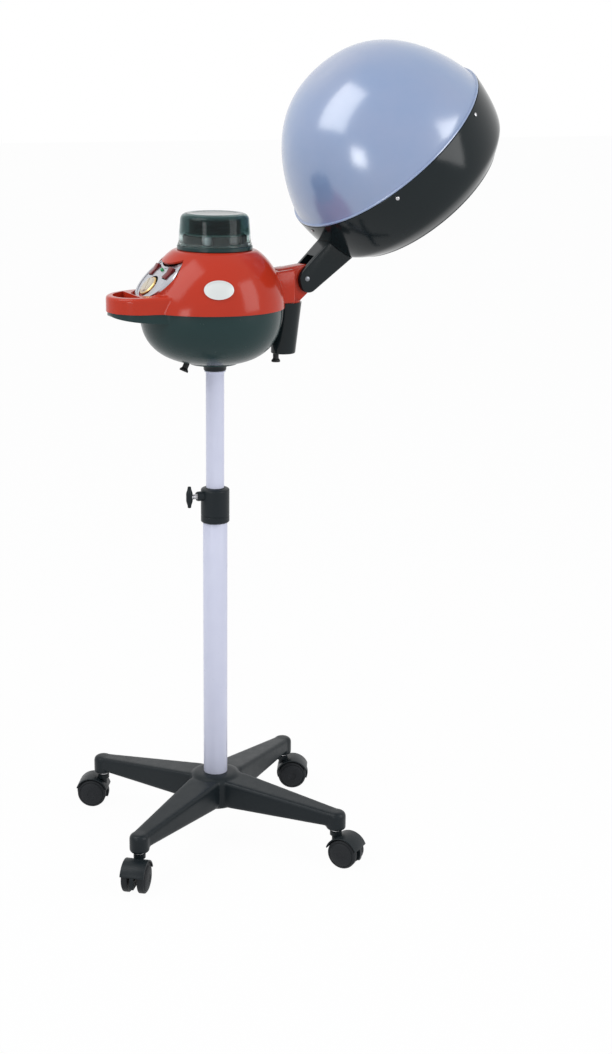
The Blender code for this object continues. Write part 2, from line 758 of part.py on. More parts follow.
def shell(profile):
    """A turned shell form, drawn out on the side of the nose, fully at the seam and less above it."""
    shape = turned(profile, LARGE_STEPS)
    for vertex in shape.verts:
        share = min(1, max(0, (SHELL_STRETCH_TOP - vertex.co.z) / (SHELL_STRETCH_TOP - SEAM_HEIGHT)))
        if vertex.co.x < 0:
            vertex.co.x *= 1 + (SHELL_STRETCH - 1) * share
    return shape


def bell(outset, low):
    """The bell as a turned solid, grown by the outset; it reaches down to low."""
    side = shifted(bell_side(), -outset)
    top = side[0][1]
    wide = side[-1][0]
    profile = [(0, top)] + side[:-1] + [(wide, SEAM_HEIGHT + GAP)]
    if low < SEAM_HEIGHT:
        profile.append((wide, low))
    profile.append((0, profile[-1][1]))
    return shell(profile)


def bowl_side(outset, floor_radius):
    """The bowl's outline from the seam down to its flat floor, grown by the outset."""
    steps = 7
    points = []
    for i in range(steps + 1):
        angle = math.pi / 2 * i / steps
        across = math.cos(angle) ** (2 / BOWL_POWER)
        down = math.sin(angle) ** (2 / BOWL_POWER)
        radius = (BOWL_RADIUS + outset) * across
        if radius > floor_radius:
            points.append((radius, SEAM_HEIGHT - (BOWL_DEPTH + outset) * down))
    return points + [(floor_radius, SEAM_HEIGHT - BOWL_DEPTH - outset)]


def tongue(inset):
    """The nose's outline seen from above, flaring into the round body."""
    width = NOSE_RADIUS - inset
    root = (NOSE_ROOT_X + inset, NOSE_ROOT_HALF - inset)
    end = arc(NOSE_CENTRE, 0, width, 180, 90, 7)[:-1]
    flare = bezier((NOSE_CENTRE, width), (NOSE_CENTRE + 0.018, width), (-0.084, 0.066 - inset), root, 4)
    return mirrored(end + flare + [root])


def nose_top(x, drop=0.0):
    """Height of the nose's gently sloping top."""
    return NOSE_TIP_TOP + NOSE_SLOPE * (x - NOSE_CENTRE + NOSE_RADIUS) - drop


def nose_solid(inset, low, drop):
    """The nose above the seam, with a rounded top edge."""
    edge = NOSE_EDGE - inset
    rings = [[(x, y, low) for x, y in tongue(inset)]]
    rings.append([(x, y, nose_top(x, drop + edge)) for x, y in tongue(inset)])
    rings.append([(x, y, nose_top(x, drop + edge * 0.3)) for x, y in tongue(inset + edge * 0.3)])
    rings.append([(x, y, nose_top(x, drop)) for x, y in tongue(inset + edge)])
    return stacked(rings)


def slot_outline(outset):
    """The hand slot: a segment of a circle beyond the slot's straight back edge."""
    radius = SLOT_RADIUS + outset
    back = SLOT_BACK + outset
    angle = math.degrees(math.acos((back - NOSE_CENTRE) / radius))
    return arc(NOSE_CENTRE, 0, radius, angle, 360 - angle, 12)


def shield_outline(outset):
    """The panel plate in its own plane: x runs up the slope, y across it. Horned on top, round below."""
    half = bezier((-0.0146, 0), (-0.0140, 0.014), (-0.0085, 0.028), (0.0020, 0.0354), 4)
    half += bezier((0.0020, 0.0354), (-0.0120, 0.046), (-0.0260, 0.0500), (-0.0420, 0.0460), 3)
    half += bezier((-0.0420, 0.0460), (-0.0600, 0.0410), (-0.0730, 0.0270), (-0.0762, 0.010), 4)
    half += [(-0.0762, 0.010), (-0.0768, 0)]
    return shifted(mirrored(half), outset, closed=True)


def panel_drop(x, y):
    """How far the panel's softly domed surface lies under its tangent plane at the top."""
    return PANEL_BULGE * (x * x + y * y)


def panel_layer(low, high):
    """A layer of the panel's domed form, between two heights over its surface."""
    steps = 6
    radii = [PANEL_REACH * i / steps for i in range(steps + 1)]
    upper = [(radius, high - panel_drop(radius, 0)) for radius in radii]
    lower = [(radius, low - panel_drop(radius, 0)) for radius in radii[::-1]]
    return turned(upper + lower, MIDDLE_STEPS)


def panel_slab(name, panel, outset, low, high):
    """The shield's outline cut out of such a layer, square to the tangent plane."""
    slab = tool(name, prism(shield_outline(outset), -0.06, 0.06), panel)
    combine(slab, tool(f"{name} layer", panel_layer(low, high), panel), "INTERSECT")
    return slab


def panel_place(name, panel, x, y):
    """A pivot on the panel's surface whose Z axis stands square to it."""
    turn_x = -math.degrees(math.atan(2 * PANEL_BULGE * y))
    turn_y = math.degrees(math.atan(2 * PANEL_BULGE * x))
    return pivot(name, panel, (x, y, -panel_drop(x, y)), (turn_x, turn_y, 0))


def trimmed(target, head, above):
    """Cuts the target flat at the seam between the two shells, and keeps what lies above or below it."""
    depth = 0.1
    middle = SEAM_HEIGHT + (GAP - depth / 2 if above else depth / 2)
    cut(target, tool(f"{target.name} seam", block((0.6, 0.6, depth), (0, 0, middle)), head))


def upper_cover(head, panel):
    """The red upper shell: bell, nose and the seat that the control panel lies on, all hollow from below."""
    low = SEAM_HEIGHT - 0.010
    seat = -PANEL_PLATE - GAP
    cover = piece("upper_cover", bell(0, low), material("upper_cover", **RED_PLASTIC), head)
    join(
        cover,
        tool("nose outside", nose_solid(0, low - 0.002, 0), head),
        panel_slab("panel plinth", panel, PANEL_MARGIN, seat - PLINTH_DEPTH, seat + 0.003),
    )
    cut(cover, panel_slab("above the panel seat", panel, PANEL_MARGIN + 0.0005, seat, 0.04))
    hollow = tool("cover hollow", bell(-SHELL_WALL, low - 0.012), head)
    join(
        hollow,
        tool("nose inside", nose_solid(SHELL_WALL, low - 0.014, SHELL_WALL), head),
        panel_slab("plinth inside", panel, PANEL_MARGIN - SHELL_WALL, seat - PLINTH_DEPTH - 0.006, 0),
    )
    cut(
        hollow,
        panel_slab("under the panel seat", panel, PANEL_MARGIN + 0.003, seat - SHELL_WALL, 0.04),
        tool("slot wall", prism(slot_outline(SHELL_WALL), SLOT_LOW, SLOT_HIGH), head),
    )
    cut(cover, hollow)
    trimmed(cover, head, above=True)
    pipe_hole = laid_along(rod(PIPE_RADIUS + GAP, 0.07, 0.13), "X")
    neck_hole = rod(BELL_HOLE_RADIUS, BELL_TOP - 0.027, BELL_TOP + 0.013, MIDDLE_STEPS)
    cut(
        cover,
        tool("cover hand slot", prism(slot_outline(0), SLOT_LOW, SLOT_HIGH), head),
        tool("cover pipe hole", pipe_hole, head, (0, 0, PIPE_HEIGHT)),
        tool("boiler neck hole", neck_hole, head),
    )
    return cover


def panel_holes(target, panel, name):
    """Holes for the rocker switches, the lamp and the dial's spindle, through the plate and the shell."""
    length = ROCKER_LENGTH + 2 * ROCKER_SPACE
    width = ROCKER_WIDTH + 4 * GAP
    for number, across in enumerate(ROCKER_PLACES):
        place = panel_place(f"{name} rocker place {number + 1}", panel, -ROCKER_DOWN, across)
        cut(target, tool(f"{name} rocker hole {number + 1}", block((length, width, 0.03)), place))
    place = panel_place(f"{name} lamp place", panel, -LAMP_DOWN, 0)
    cut(target, tool(f"{name} lamp hole", rod(LAMP_RADIUS + GAP, -0.015, 0.015, 12), place))


def lower_bowl(head):
    """The dark lower shell: a bowl with the nose's underside and a flat boss for the power inlet."""
    neck = NECK_SPIGOT_RADIUS + GAP
    outer = bowl_side(0, BOWL_FLOOR_RADIUS)
    inner = bowl_side(-SHELL_WALL, BOWL_FLOOR_RADIUS - SHELL_WALL)
    outside = [(0, SEAM_HEIGHT + 0.01), (outer[0][0], SEAM_HEIGHT + 0.01)] + outer + [(0, outer[-1][1])]
    inside = [(0, SEAM_HEIGHT + 0.02), (inner[0][0], SEAM_HEIGHT + 0.02)] + inner + [(0, inner[-1][1])]
    bowl = piece("lower_bowl", shell(outside), material("lower_bowl", **DARK_GREEN), head)
    keel = [
        (-0.169, SEAM_HEIGHT + 0.012),
        (-0.169, SEAM_HEIGHT),
        (-0.166, SEAM_HEIGHT - 0.006),
        (-0.152, SEAM_HEIGHT - 0.010),
        (-0.125, SEAM_HEIGHT - 0.013),
        (-0.075, SEAM_HEIGHT - 0.016),
        (-0.075, SEAM_HEIGHT + 0.012),
    ]
    tray = tool("tray outside", prism(tongue(TRAY_INSET), SEAM_HEIGHT - 0.03, SEAM_HEIGHT + 0.03), head)
    combine(tray, tool("tray keel", side_prism(keel, 0.2), head), "INTERSECT")
    boss_depth = INLET_FACE - INLET_FLANGE - GAP - 0.070
    boss = block((INLET_WIDTH, boss_depth, INLET_TALL + 0.004), (0, 0.070 + boss_depth / 2, INLET_HEIGHT))
    join(bowl, tray, tool("inlet boss", boss, head))
    hollow = tool("bowl hollow", shell(inside), head)
    tray_inset = TRAY_INSET + SHELL_WALL
    raised = [(x + SHELL_WALL if x < -0.16 else x, z + SHELL_WALL) for x, z in keel]
    tray_hollow = tool("tray hollow", prism(tongue(tray_inset), SEAM_HEIGHT - 0.03, SEAM_HEIGHT + 0.04), head)
    combine(tray_hollow, tool("tray inner keel", side_prism(raised, 0.2), head), "INTERSECT")
    join(hollow, tray_hollow)
    cut(hollow, tool("tray slot wall", prism(slot_outline(SHELL_WALL), SLOT_LOW, SLOT_HIGH), head))
    cut(bowl, hollow)
    trimmed(bowl, head, above=False)
    cut(bowl, tool("tray hand slot", prism(slot_outline(0), SLOT_LOW, SLOT_HIGH), head))
    pocket = block((INLET_BODY_WIDTH + 2 * GAP, 0.08, INLET_BODY_TALL + 2 * GAP), (0, 0.10, INLET_HEIGHT))
    cut(bowl, tool("inlet hole", pocket, head))
    cut(bowl, tool("neck hole", rod(neck, NECK_BOTTOM, NECK_SPIGOT_TOP + 0.017, MIDDLE_STEPS), head))
    return bowl


def neck_socket(head):
    """The black socket that turns on the mast's end and carries bowl and boiler."""
    hole = UPPER_TUBE_RADIUS + GAP
    floor = SEAM_HEIGHT - BOWL_DEPTH
    profile = [
        (hole, NECK_BOTTOM),
        (NECK_RADIUS - 0.0015, NECK_BOTTOM),
        (NECK_RADIUS, NECK_BOTTOM + 0.0015),
        (NECK_FOOT_RADIUS, floor - GAP - 0.002),
        (NECK_FOOT_RADIUS, floor - GAP),
        (NECK_SPIGOT_RADIUS, floor - GAP),
        (NECK_SPIGOT_RADIUS, NECK_SPIGOT_TOP),
        (0, NECK_SPIGOT_TOP),
        (0, UPPER_TUBE_TOP + GAP),
        (hole, UPPER_TUBE_TOP + GAP),
    ]
    start = profile.index((0, UPPER_TUBE_TOP + GAP))
    ordered = profile[start:] + profile[:start]
    piece("neck_socket", turned(ordered), material("neck_socket", **BLACK_PLASTIC), head)


# ---------------------------------------------------------------- control panel


def panel_plate(panel):
    """The bright shield-shaped plate that carries switches and lamp, with a well for the dial."""
    plate = panel_slab("panel_plate", panel, 0, -PANEL_PLATE, 0)
    plate.hide_render = False
    plate.display_type = "TEXTURED"
    plate.data.materials.append(material("panel_plate", **CHROME))
    panel_holes(plate, panel, "plate")
    place = panel_place("dial well place", panel, -DIAL_DOWN, 0)
    cut(plate, tool("dial well", rod(DIAL_RADIUS + DIAL_WELL, -0.015, 0.015, 24), place))


def rocker(name, panel, across):
    """A dark red rocker switch, seen in its off position, rocking about the line across its middle."""
    place = panel_place(f"{name} place", panel, -ROCKER_DOWN, across)
    axis = pivot(f"{name} axis", place, (0, 0, -ROCKER_AXIS), (0, -ROCKER_TILT, 0))
    half = ROCKER_LENGTH / 2
    top = ROCKER_AXIS + ROCKER_PROUD
    outline = [
        (-half, top),
        (-half, 0),
        (-half * 0.7, -ROCKER_DEPTH),
        (half * 0.7, -ROCKER_DEPTH),
        (half, 0),
        (half, top),
        (0, top - half * math.tan(math.radians(ROCKER_TILT))),
    ]
    piece(name, side_prism(outline, ROCKER_WIDTH), material(name, (0.16, 0.012, 0.014), 0.25), axis)


def indicator_lamp(panel):
    place = panel_place("lamp place", panel, -LAMP_DOWN, 0)
    profile = [
        (0, -0.010),
        (LAMP_RADIUS, -0.010),
        (LAMP_RADIUS, 0.0007),
        (LAMP_RADIUS * 0.7, 0.0018),
        (0, 0.0022),
    ]
    piece("indicator_lamp", turned(profile, 12), material("indicator_lamp", (0.03, 0.22, 0.07), 0.2), place)


def dial(panel):
    """The knob and the spindle that it sits on, turning square to the panel where they stand."""
    axis = panel_place("dial axis", panel, -DIAL_DOWN, 0)
    low = GAP - PANEL_PLATE
    high = low + DIAL_HEIGHT
    hole = SPINDLE_RADIUS + GAP
    hole_top = high - 0.002
    profile = [
        (0, hole_top),
        (hole, hole_top),
        (hole, low),
        (DIAL_RADIUS, low),
        (DIAL_RADIUS, low + 0.002),
        (DIAL_RADIUS - 0.0015, low + 0.0045),
        (DIAL_RADIUS - 0.0045, high - 0.0006),
        (DIAL_RADIUS * 0.5, high),
        (0, high),
    ]
    piece("dial_knob", turned(profile, MIDDLE_STEPS), material("dial_knob", (0.62, 0.55, 0.45), 0.3), axis)
    spindle = rod(SPINDLE_RADIUS, -SPINDLE_DEPTH, hole_top - GAP, 12)
    piece("dial_spindle", spindle, material("dial_spindle", **STEEL), axis)
    return axis


def control_board(cover, axis):
    """A circuit board square under the dial, held by two posts inside the cover."""
    top = -SPINDLE_DEPTH - GAP
    board = block((BOARD_LENGTH, BOARD_WIDTH, BOARD_THICKNESS), (BOARD_SHIFT, 0, top - BOARD_THICKNESS / 2))
    piece("control_board", board, material("control_board", (0.02, 0.16, 0.06), 0.5), axis)
    for number, side in enumerate((1, -1)):
        post = rod(0.003, top + GAP, -PANEL_PLATE - SHELL_WALL / 2 - GAP, 12)
        place = (BOARD_SHIFT, side * (BOARD_WIDTH / 2 - 0.006), 0)
        join(cover, tool(f"board post {number + 1}", post, axis, place))


def badge_plate(head):
    """An oval plate with nothing on it, following the bell's surface on the side toward the viewer."""
    skin = bell(GAP + BADGE_PLATE, SEAM_HEIGHT + 0.01)
    badge = piece("badge_plate", skin, material("badge_plate", **CHROME), head)
    inner = tool("badge back", bell(GAP, SEAM_HEIGHT), head)
    half = [(BADGE_LENGTH / 2 * x, BADGE_DEPTH / 2 * y) for x, y in arc(0, 0, 1, 0, 360, 20)[:-1]]
    carrier = pivot("badge way", head, (0, 0, BADGE_HEIGHT), (0, 0, BADGE_TURN + 90))
    oval = prism(half, 0.05, 0.16)
    bmesh.ops.rotate(oval, verts=oval.verts, cent=(0, 0, 0), matrix=Matrix.Rotation(math.pi / 2, 3, "X"))
    combine(badge, tool("badge oval", oval, carrier), "INTERSECT")
    cut(badge, inner)


# ---------------------------------------------------------------- jar and boiler


def boiler(head):
    """The steel boiler on the neck socket, the heater ring on its floor and the steam pipe at its side."""
    low = NECK_SPIGOT_TOP + GAP
    top = BELL_TOP
    neck = BELL_HOLE_RADIUS - GAP
    inner = neck - BOILER_WALL
    profile = [
        (0, low),
        (BOILER_RADIUS - 0.006, low),
        (BOILER_RADIUS, low + 0.006),
        (BOILER_RADIUS, BOILER_SHOULDER),
        (neck, BOILER_SHOULDER + 0.012),
        (neck, top),
        (inner, top),
        (inner, BOILER_SHOULDER + 0.012 - BOILER_WALL),
        (BOILER_RADIUS - BOILER_WALL, BOILER_SHOULDER - BOILER_WALL),
        (BOILER_RADIUS - BOILER_WALL, low + 0.006 + BOILER_WALL),
        (BOILER_RADIUS - 0.006 - BOILER_WALL, low + BOILER_WALL),
        (0, low + BOILER_WALL),
    ]
    piece("boiler_vessel", turned(profile), material("boiler_vessel", **STEEL), head)
    height = low + BOILER_WALL + GAP + HEATER_RADIUS
    ring = turned(arc(HEATER_CIRCLE, height, HEATER_RADIUS, 0, 360, 6)[:-1], 18)
    piece("heating_element", ring, material("heating_element", (0.35, 0.2, 0.1), 0.4, 1.0), head)
    start = BOILER_RADIUS + GAP
    end = BRACKET_ROOT_END - 0.006
    pipe = laid_along(tube(PIPE_RADIUS, PIPE_RADIUS - PIPE_WALL, start, end, SMALL_STEPS), "X")
    piece("steam_pipe", pipe, material("steam_pipe", **STEEL), head, (0, 0, PIPE_HEIGHT))


def jar_floor():
    """Height of the seat ring's top, on which jar and posts stand."""
    return BELL_TOP + GAP + SEAT_HEIGHT


def tank_seat(head):
    """The black ring that the jar stands in, with a step that centres it."""
    low = BELL_TOP + GAP
    floor = jar_floor()
    step = JAR_RADIUS - JAR_WALL - 2 * GAP
    hole = BELL_HOLE_RADIUS - 0.009
    profile = [
        (hole, low),
        (SEAT_RADIUS, low),
        (SEAT_RADIUS, floor - 0.001),
        (SEAT_RADIUS - 0.001, floor),
        (step, floor),
        (step, floor + SEAT_STEP),
        (step - 0.003, floor + SEAT_STEP),
        (step - 0.003, floor),
        (hole, floor),
    ]
    piece("tank_seat", turned(profile, LARGE_STEPS), material("tank_seat", **DARK_GREEN), head)


def boiler_head(head):
    """Three pale posts, the clear plate on them and the black cap on the plate."""
    low = jar_floor() + GAP
    pale = dict(colour=(0.55, 0.54, 0.68), roughness=0.35)
    for index in range(POST_COUNT):
        angle = math.radians(POST_TURN + 360 / POST_COUNT * index)
        name = f"tank_post_{index + 1}"
        place = (POST_CIRCLE * math.cos(angle), POST_CIRCLE * math.sin(angle), low)
        piece(name, rod(POST_RADIUS, 0, POST_HEIGHT), material(name, **pale), head, place)
    plate_low = low + POST_HEIGHT + GAP
    plate_top = plate_low + BOILER_PLATE
    plate = rod(BOILER_PLATE_RADIUS, plate_low, plate_top, MIDDLE_STEPS)
    piece("boiler_plate", plate, material("boiler_plate", (0.35, 0.45, 0.42), 0.2), head)
    cap_low = plate_top + GAP
    cap_top = cap_low + BOILER_CAP_HEIGHT
    round_off = 0.003
    profile = [
        (0, cap_low),
        (BOILER_CAP_RADIUS, cap_low),
        (BOILER_CAP_RADIUS, cap_top - round_off),
        (BOILER_CAP_RADIUS - round_off * 0.3, cap_top - round_off * 0.3),
        (BOILER_CAP_RADIUS - round_off, cap_top),
        (0, cap_top),
    ]
    piece("boiler_cap", turned(profile), material("boiler_cap", **BLACK_PLASTIC), head)


def tank_cover(head):
    """The smoked clear jar turned over the boiler's head; it lifts straight off."""
    lift = pivot("tank lift", head, (0, 0, jar_floor() + GAP))
    foot = 0.0012
    side = [(JAR_RADIUS + foot, 0), (JAR_RADIUS + foot, 0.003), (JAR_RADIUS, 0.0045)]
    middle = JAR_RADIUS - JAR_DRAFT - JAR_ROUND
    corner = arc(middle, JAR_HEIGHT - JAR_ROUND, JAR_ROUND, 0, 90, 4)
    inner_corner = arc(middle, JAR_HEIGHT - JAR_ROUND, JAR_ROUND - JAR_WALL, 90, 0, 3)
    profile = [(0, JAR_HEIGHT)] + corner[::-1] + side[::-1]
    profile += [(JAR_RADIUS - JAR_WALL, 0)] + inner_corner[::-1] + [(0, JAR_HEIGHT - JAR_WALL)]
    surface = material("tank_cover", (0.03, 0.07, 0.06), 0.08, 0.0, 0.45)
    piece("tank_cover", turned(profile, LARGE_STEPS), surface, lift)


# ---------------------------------------------------------------- inlet, plugs and cup


def power_inlet(head):
    """A three-pin appliance inlet on the far side of the bowl: flange, body and recess with its pins."""
    body_mid = INLET_FACE - INLET_FLANGE - INLET_BODY_DEPTH / 2
    flange = block((INLET_WIDTH, INLET_FLANGE, INLET_TALL), (0, INLET_FACE - INLET_FLANGE / 2, INLET_HEIGHT))
    inlet = piece("power_inlet", flange, material("power_inlet", (0.01, 0.01, 0.01), 0.45), head)
    body = block((INLET_BODY_WIDTH, INLET_BODY_DEPTH + 0.001, INLET_BODY_TALL), (0, body_mid, INLET_HEIGHT))
    join(inlet, tool("inlet body", body, head))
    half = INLET_BODY_WIDTH / 2 - INLET_RECESS_WALL
    tall = INLET_BODY_TALL / 2 - INLET_RECESS_WALL
    corner = INLET_RECESS_CORNER
    sides = [(half, -tall), (half, tall - corner), (half - corner, tall)]
    mouth = sides + [(-x, y) for x, y in sides[::-1]]
    recess = laid_along(prism(mouth, -INLET_RECESS_DEPTH, INLET_BODY_DEPTH), "Y")
    cut(inlet, tool("inlet recess", recess, head, (0, INLET_FACE, INLET_HEIGHT)))
    size = (INLET_PIN_WIDTH, INLET_RECESS_DEPTH, INLET_PIN_TALL)
    middle = INLET_FACE - INLET_RECESS_DEPTH / 2 - INLET_PIN_BACK
    for number, (across, up) in enumerate(INLET_PINS):
        pin = block(size, (across, middle, INLET_HEIGHT + up))
        join(inlet, tool(f"inlet pin {number + 1}", pin, head))


def plug_profile():
    """A small flared rubber plug hanging down from its seat at the origin."""
    return [
        (0, -PLUG_LENGTH),
        (PLUG_FLARE, -PLUG_LENGTH),
        (PLUG_FLARE, -PLUG_LENGTH + 0.0025),
        (PLUG_RADIUS, -PLUG_LENGTH + 0.006),
        (PLUG_RADIUS, 0),
        (0, 0),
    ]


def drain_plug(head):
    """The plug of the boiler's drain under the bowl, leaning outward."""
    height = SEAM_HEIGHT - BOWL_DEPTH * 0.97
    carrier = pivot("drain way", head, (0, 0, 0), (0, 0, DRAIN_TURN))
    place = (DRAIN_CIRCLE, 0, height)
    shape = turned(plug_profile()[:-1] + [(0, 0.006)], SMALL_STEPS)
    surface = material("drain_plug", (0.01, 0.012, 0.012), 0.5)
    plug = piece("drain_plug", shape, surface, carrier, place, (0, -DRAIN_LEAN, 0))
    outer = bowl_side(GAP, BOWL_FLOOR_RADIUS)
    ground = [(0, SEAM_HEIGHT)] + outer + [(0, outer[-1][1])]
    cut(plug, tool("bowl outside", shell(ground), head))


def cup_shape(name, head, inset, low, high):
    """The cup's tapered form between two heights under its rim, hollowed toward the shell on one side."""
    draft = (CUP_TOP_RADIUS - CUP_FLOOR_RADIUS) / CUP_HEIGHT

    def radius(height):
        return CUP_FLOOR_RADIUS + draft * (CUP_HEIGHT + height) - inset

    profile = [(0, low), (radius(low), low), (radius(high), high), (0, high)]
    form = turned(profile)
    for vertex in form.verts:
        vertex.co.x += CUP_LEAN * vertex.co.z / CUP_HEIGHT
    shape = tool(name, form, head, (CUP_X, 0, BRACKET_BOTTOM - GAP))
    beside = bowl_side(BELL_RADIUS - BOWL_RADIUS + CUP_BOWL_SPACE + inset, BOWL_FLOOR_RADIUS)
    above = BRACKET_BOTTOM + 0.02
    ground = [(0, above), (beside[0][0], above)] + beside + [(0, beside[-1][1])]
    cut(shape, tool(f"{name} shell side", turned(ground, LARGE_STEPS), head))
    return shape


def condensate_cup(head):
    """The tapered drip cup under the hinge; it pulls straight down off the bracket's plug."""
    slide = pivot("cup slide", head, (CUP_X, 0, BRACKET_BOTTOM - GAP))
    cup = cup_shape("condensate_cup", head, 0, -CUP_HEIGHT, 0)
    cup.hide_render = False
    cup.display_type = "TEXTURED"
    cup.data.materials.append(material("condensate_cup", **BLACK_PLASTIC))
    cup.parent = slide
    cup.location = (0, 0, 0)
    cut(cup, cup_shape("cup hollow", head, CUP_WALL, -CUP_HEIGHT + CUP_WALL, 0.01))
    piece(
        "cup_plug",
        turned(plug_profile(), SMALL_STEPS),
        material("cup_plug", (0.01, 0.012, 0.012), 0.5),
        slide,
        (PLUG_FLARE - CUP_LEAN - CUP_FLOOR_RADIUS, 0, -CUP_HEIGHT - GAP),
    )


# ---------------------------------------------------------------- hinge and hood


def hinge_bracket(head):
    """The red lug on the bell's back, with the hinge's tongue and the cup's spigot."""
    root = [
        (0.085, BRACKET_BOTTOM),
        (BRACKET_ROOT_END, BRACKET_BOTTOM),
        (BRACKET_ROOT_END, BRACKET_TOP),
        (0.075, BRACKET_TOP - 0.005),
    ]
    nose = arc(HINGE_X, HINGE_Z, BRACKET_NOSE, 95, -55, 10)
    back = 0.100
    tongue_outline = [(back, BRACKET_TOP - 0.001)] + nose
    tongue_outline += [(HINGE_X - 0.010, BRACKET_BOTTOM), (back, BRACKET_BOTTOM)]
    surface = material("hinge_bracket", **RED_PLASTIC)
    bracket = piece("hinge_bracket", side_prism(root, BRACKET_ROOT_WIDTH), surface, head)
    round_edges(bracket, BRACKET_EDGE, 2)
    join(bracket, tool("hinge tongue", side_prism(tongue_outline, BRACKET_TONGUE_WIDTH), head))
    join(bracket, cup_shape("cup spigot", head, CUP_WALL + GAP, -SPIGOT_HEIGHT, 0.003))
    pin_hole = laid_along(rod(HINGE_PIN_RADIUS + GAP, -0.05, 0.05), "Y")
    pipe_hole = laid_along(rod(PIPE_RADIUS + GAP, 0.07, BRACKET_ROOT_END - 0.006 + GAP), "X")
    cut(
        bracket,
        tool("bell clearance", bell(GAP, SEAM_HEIGHT - 0.01), head),
        tool("hinge hole", pin_hole, head, (HINGE_X, 0, HINGE_Z)),
        tool("bracket pipe hole", pipe_hole, head, (0, 0, PIPE_HEIGHT)),
    )


def ring_side():
    """The ring's outer outline from its top flange over its shoulder to the mouth, on its own axis."""
    top = (RING_TOP_RADIUS, 0)
    shoulder = (RING_SHOULDER_RADIUS, -RING_SHOULDER_DEPTH)
    mouth = (RING_MOUTH_RADIUS, -RING_HEIGHT)
    wall = bezier(top, (top[0] + 0.0008, -0.030), (shoulder[0] + 0.007, shoulder[1] + 0.010), shoulder, 3)
    turn_in = (shoulder[0] - 0.006, shoulder[1] - 0.0085)
    lip = bezier(shoulder, turn_in, (mouth[0] + 0.007, mouth[1] + 0.005), mouth, 2)
    return wall + lip + [mouth]


def hood_ring(hood):
    """The black ring round the hood's mouth, in whose upper edge the dome's skirt sits, with a rolled lip."""
    side = ring_side()
    lip = RING_MOUTH_RADIUS - RING_LIP
    profile = [(RING_TOP_RADIUS - RING_WALL, 0)] + side
    profile += [(RING_MOUTH_RADIUS - 0.002, -RING_HEIGHT - 0.002), (lip, -RING_HEIGHT - 0.001)]
    profile += [(lip, -RING_HEIGHT + 0.002)] + shifted(side, RING_WALL)[-2:0:-1]
    ring = piece("hood_ring", turned(profile, LARGE_STEPS), material("hood_ring", **BLACK_PLASTIC), hood)
    cut(ring, screw_holes("ring screw holes", hood))


def screw_holes(name, hood):
    """Clearance holes for the dome's screws, which go straight inward through the ring and the skirt."""
    hole = laid_along(rod(DOME_SCREW_SHANK + GAP, -DOME_SCREW_LENGTH - DOME_WALL, DOME_SCREW_HEAD, 8), "X")
    holes = repeated(hole, DOME_SCREW_COUNT, RING_TOP_RADIUS, DOME_SCREW_TURN)
    return tool(name, holes, hood, (0, 0, -DOME_SCREW_DROP))


def dome_side(inset, steps):
    """The dome's outline from the middle of its crown down to its foot, moved inward by the inset."""
    points = []
    for i in range(steps + 1):
        up = math.cos(math.pi / 2 * i / steps) if i < steps else 0
        across = (1 - up**DOME_CONE_POWER) ** (1 / DOME_CROWN_POWER)
        points.append(((DOME_RADIUS - inset) * across, GAP + (DOME_HEIGHT - inset) * up))
    return points


def hood_dome(hood):
    """The frosted dome with a narrow flange on the ring's edge and a skirt inside it, held by screws."""
    flange_top = GAP + DOME_FLANGE
    skirt_low = -DOME_SKIRT_DEPTH
    skirt_inside = DOME_SKIRT_RADIUS - DOME_WALL
    profile = [point for point in dome_side(0, 10) if point[1] > flange_top + 0.002]
    profile += [(DOME_RADIUS - GAP, flange_top), (DOME_FLANGE_RADIUS, flange_top), (DOME_FLANGE_RADIUS, GAP)]
    profile += [(DOME_SKIRT_RADIUS, GAP), (DOME_SKIRT_RADIUS, skirt_low), (skirt_inside, skirt_low)]
    inner_side = [point for point in dome_side(DOME_WALL, 9) if point[1] > flange_top]
    profile += [(skirt_inside, GAP)] + inner_side[::-1]
    surface = material("hood_dome", (0.55, 0.58, 0.80), 0.25, 0.0, 0.8)
    dome = piece("hood_dome", turned(profile, LARGE_STEPS), surface, hood)
    cut(dome, screw_holes("dome screw holes", hood))


def dome_screws(hood):
    """Round-headed screws that go inward through the ring's wall into the dome's skirt."""
    profile = [
        (0, -DOME_SCREW_LENGTH),
        (DOME_SCREW_SHANK, -DOME_SCREW_LENGTH),
        (DOME_SCREW_SHANK, 0),
        (DOME_SCREW_RADIUS, 0),
        (DOME_SCREW_RADIUS, DOME_SCREW_HEAD / 2),
        (DOME_SCREW_RADIUS * 0.55, DOME_SCREW_HEAD),
        (0, DOME_SCREW_HEAD),
    ]
    for index in range(DOME_SCREW_COUNT):
        name = f"dome_screw_{index + 1}"
        turn = DOME_SCREW_TURN + 360 / DOME_SCREW_COUNT * index
        angle = math.radians(turn)
        place = (RING_TOP_RADIUS * math.cos(angle), RING_TOP_RADIUS * math.sin(angle), -DOME_SCREW_DROP)
        screw = laid_along(turned(profile, 8), "X")
        piece(name, screw, material(name, **STEEL), hood, place, (0, 0, turn))


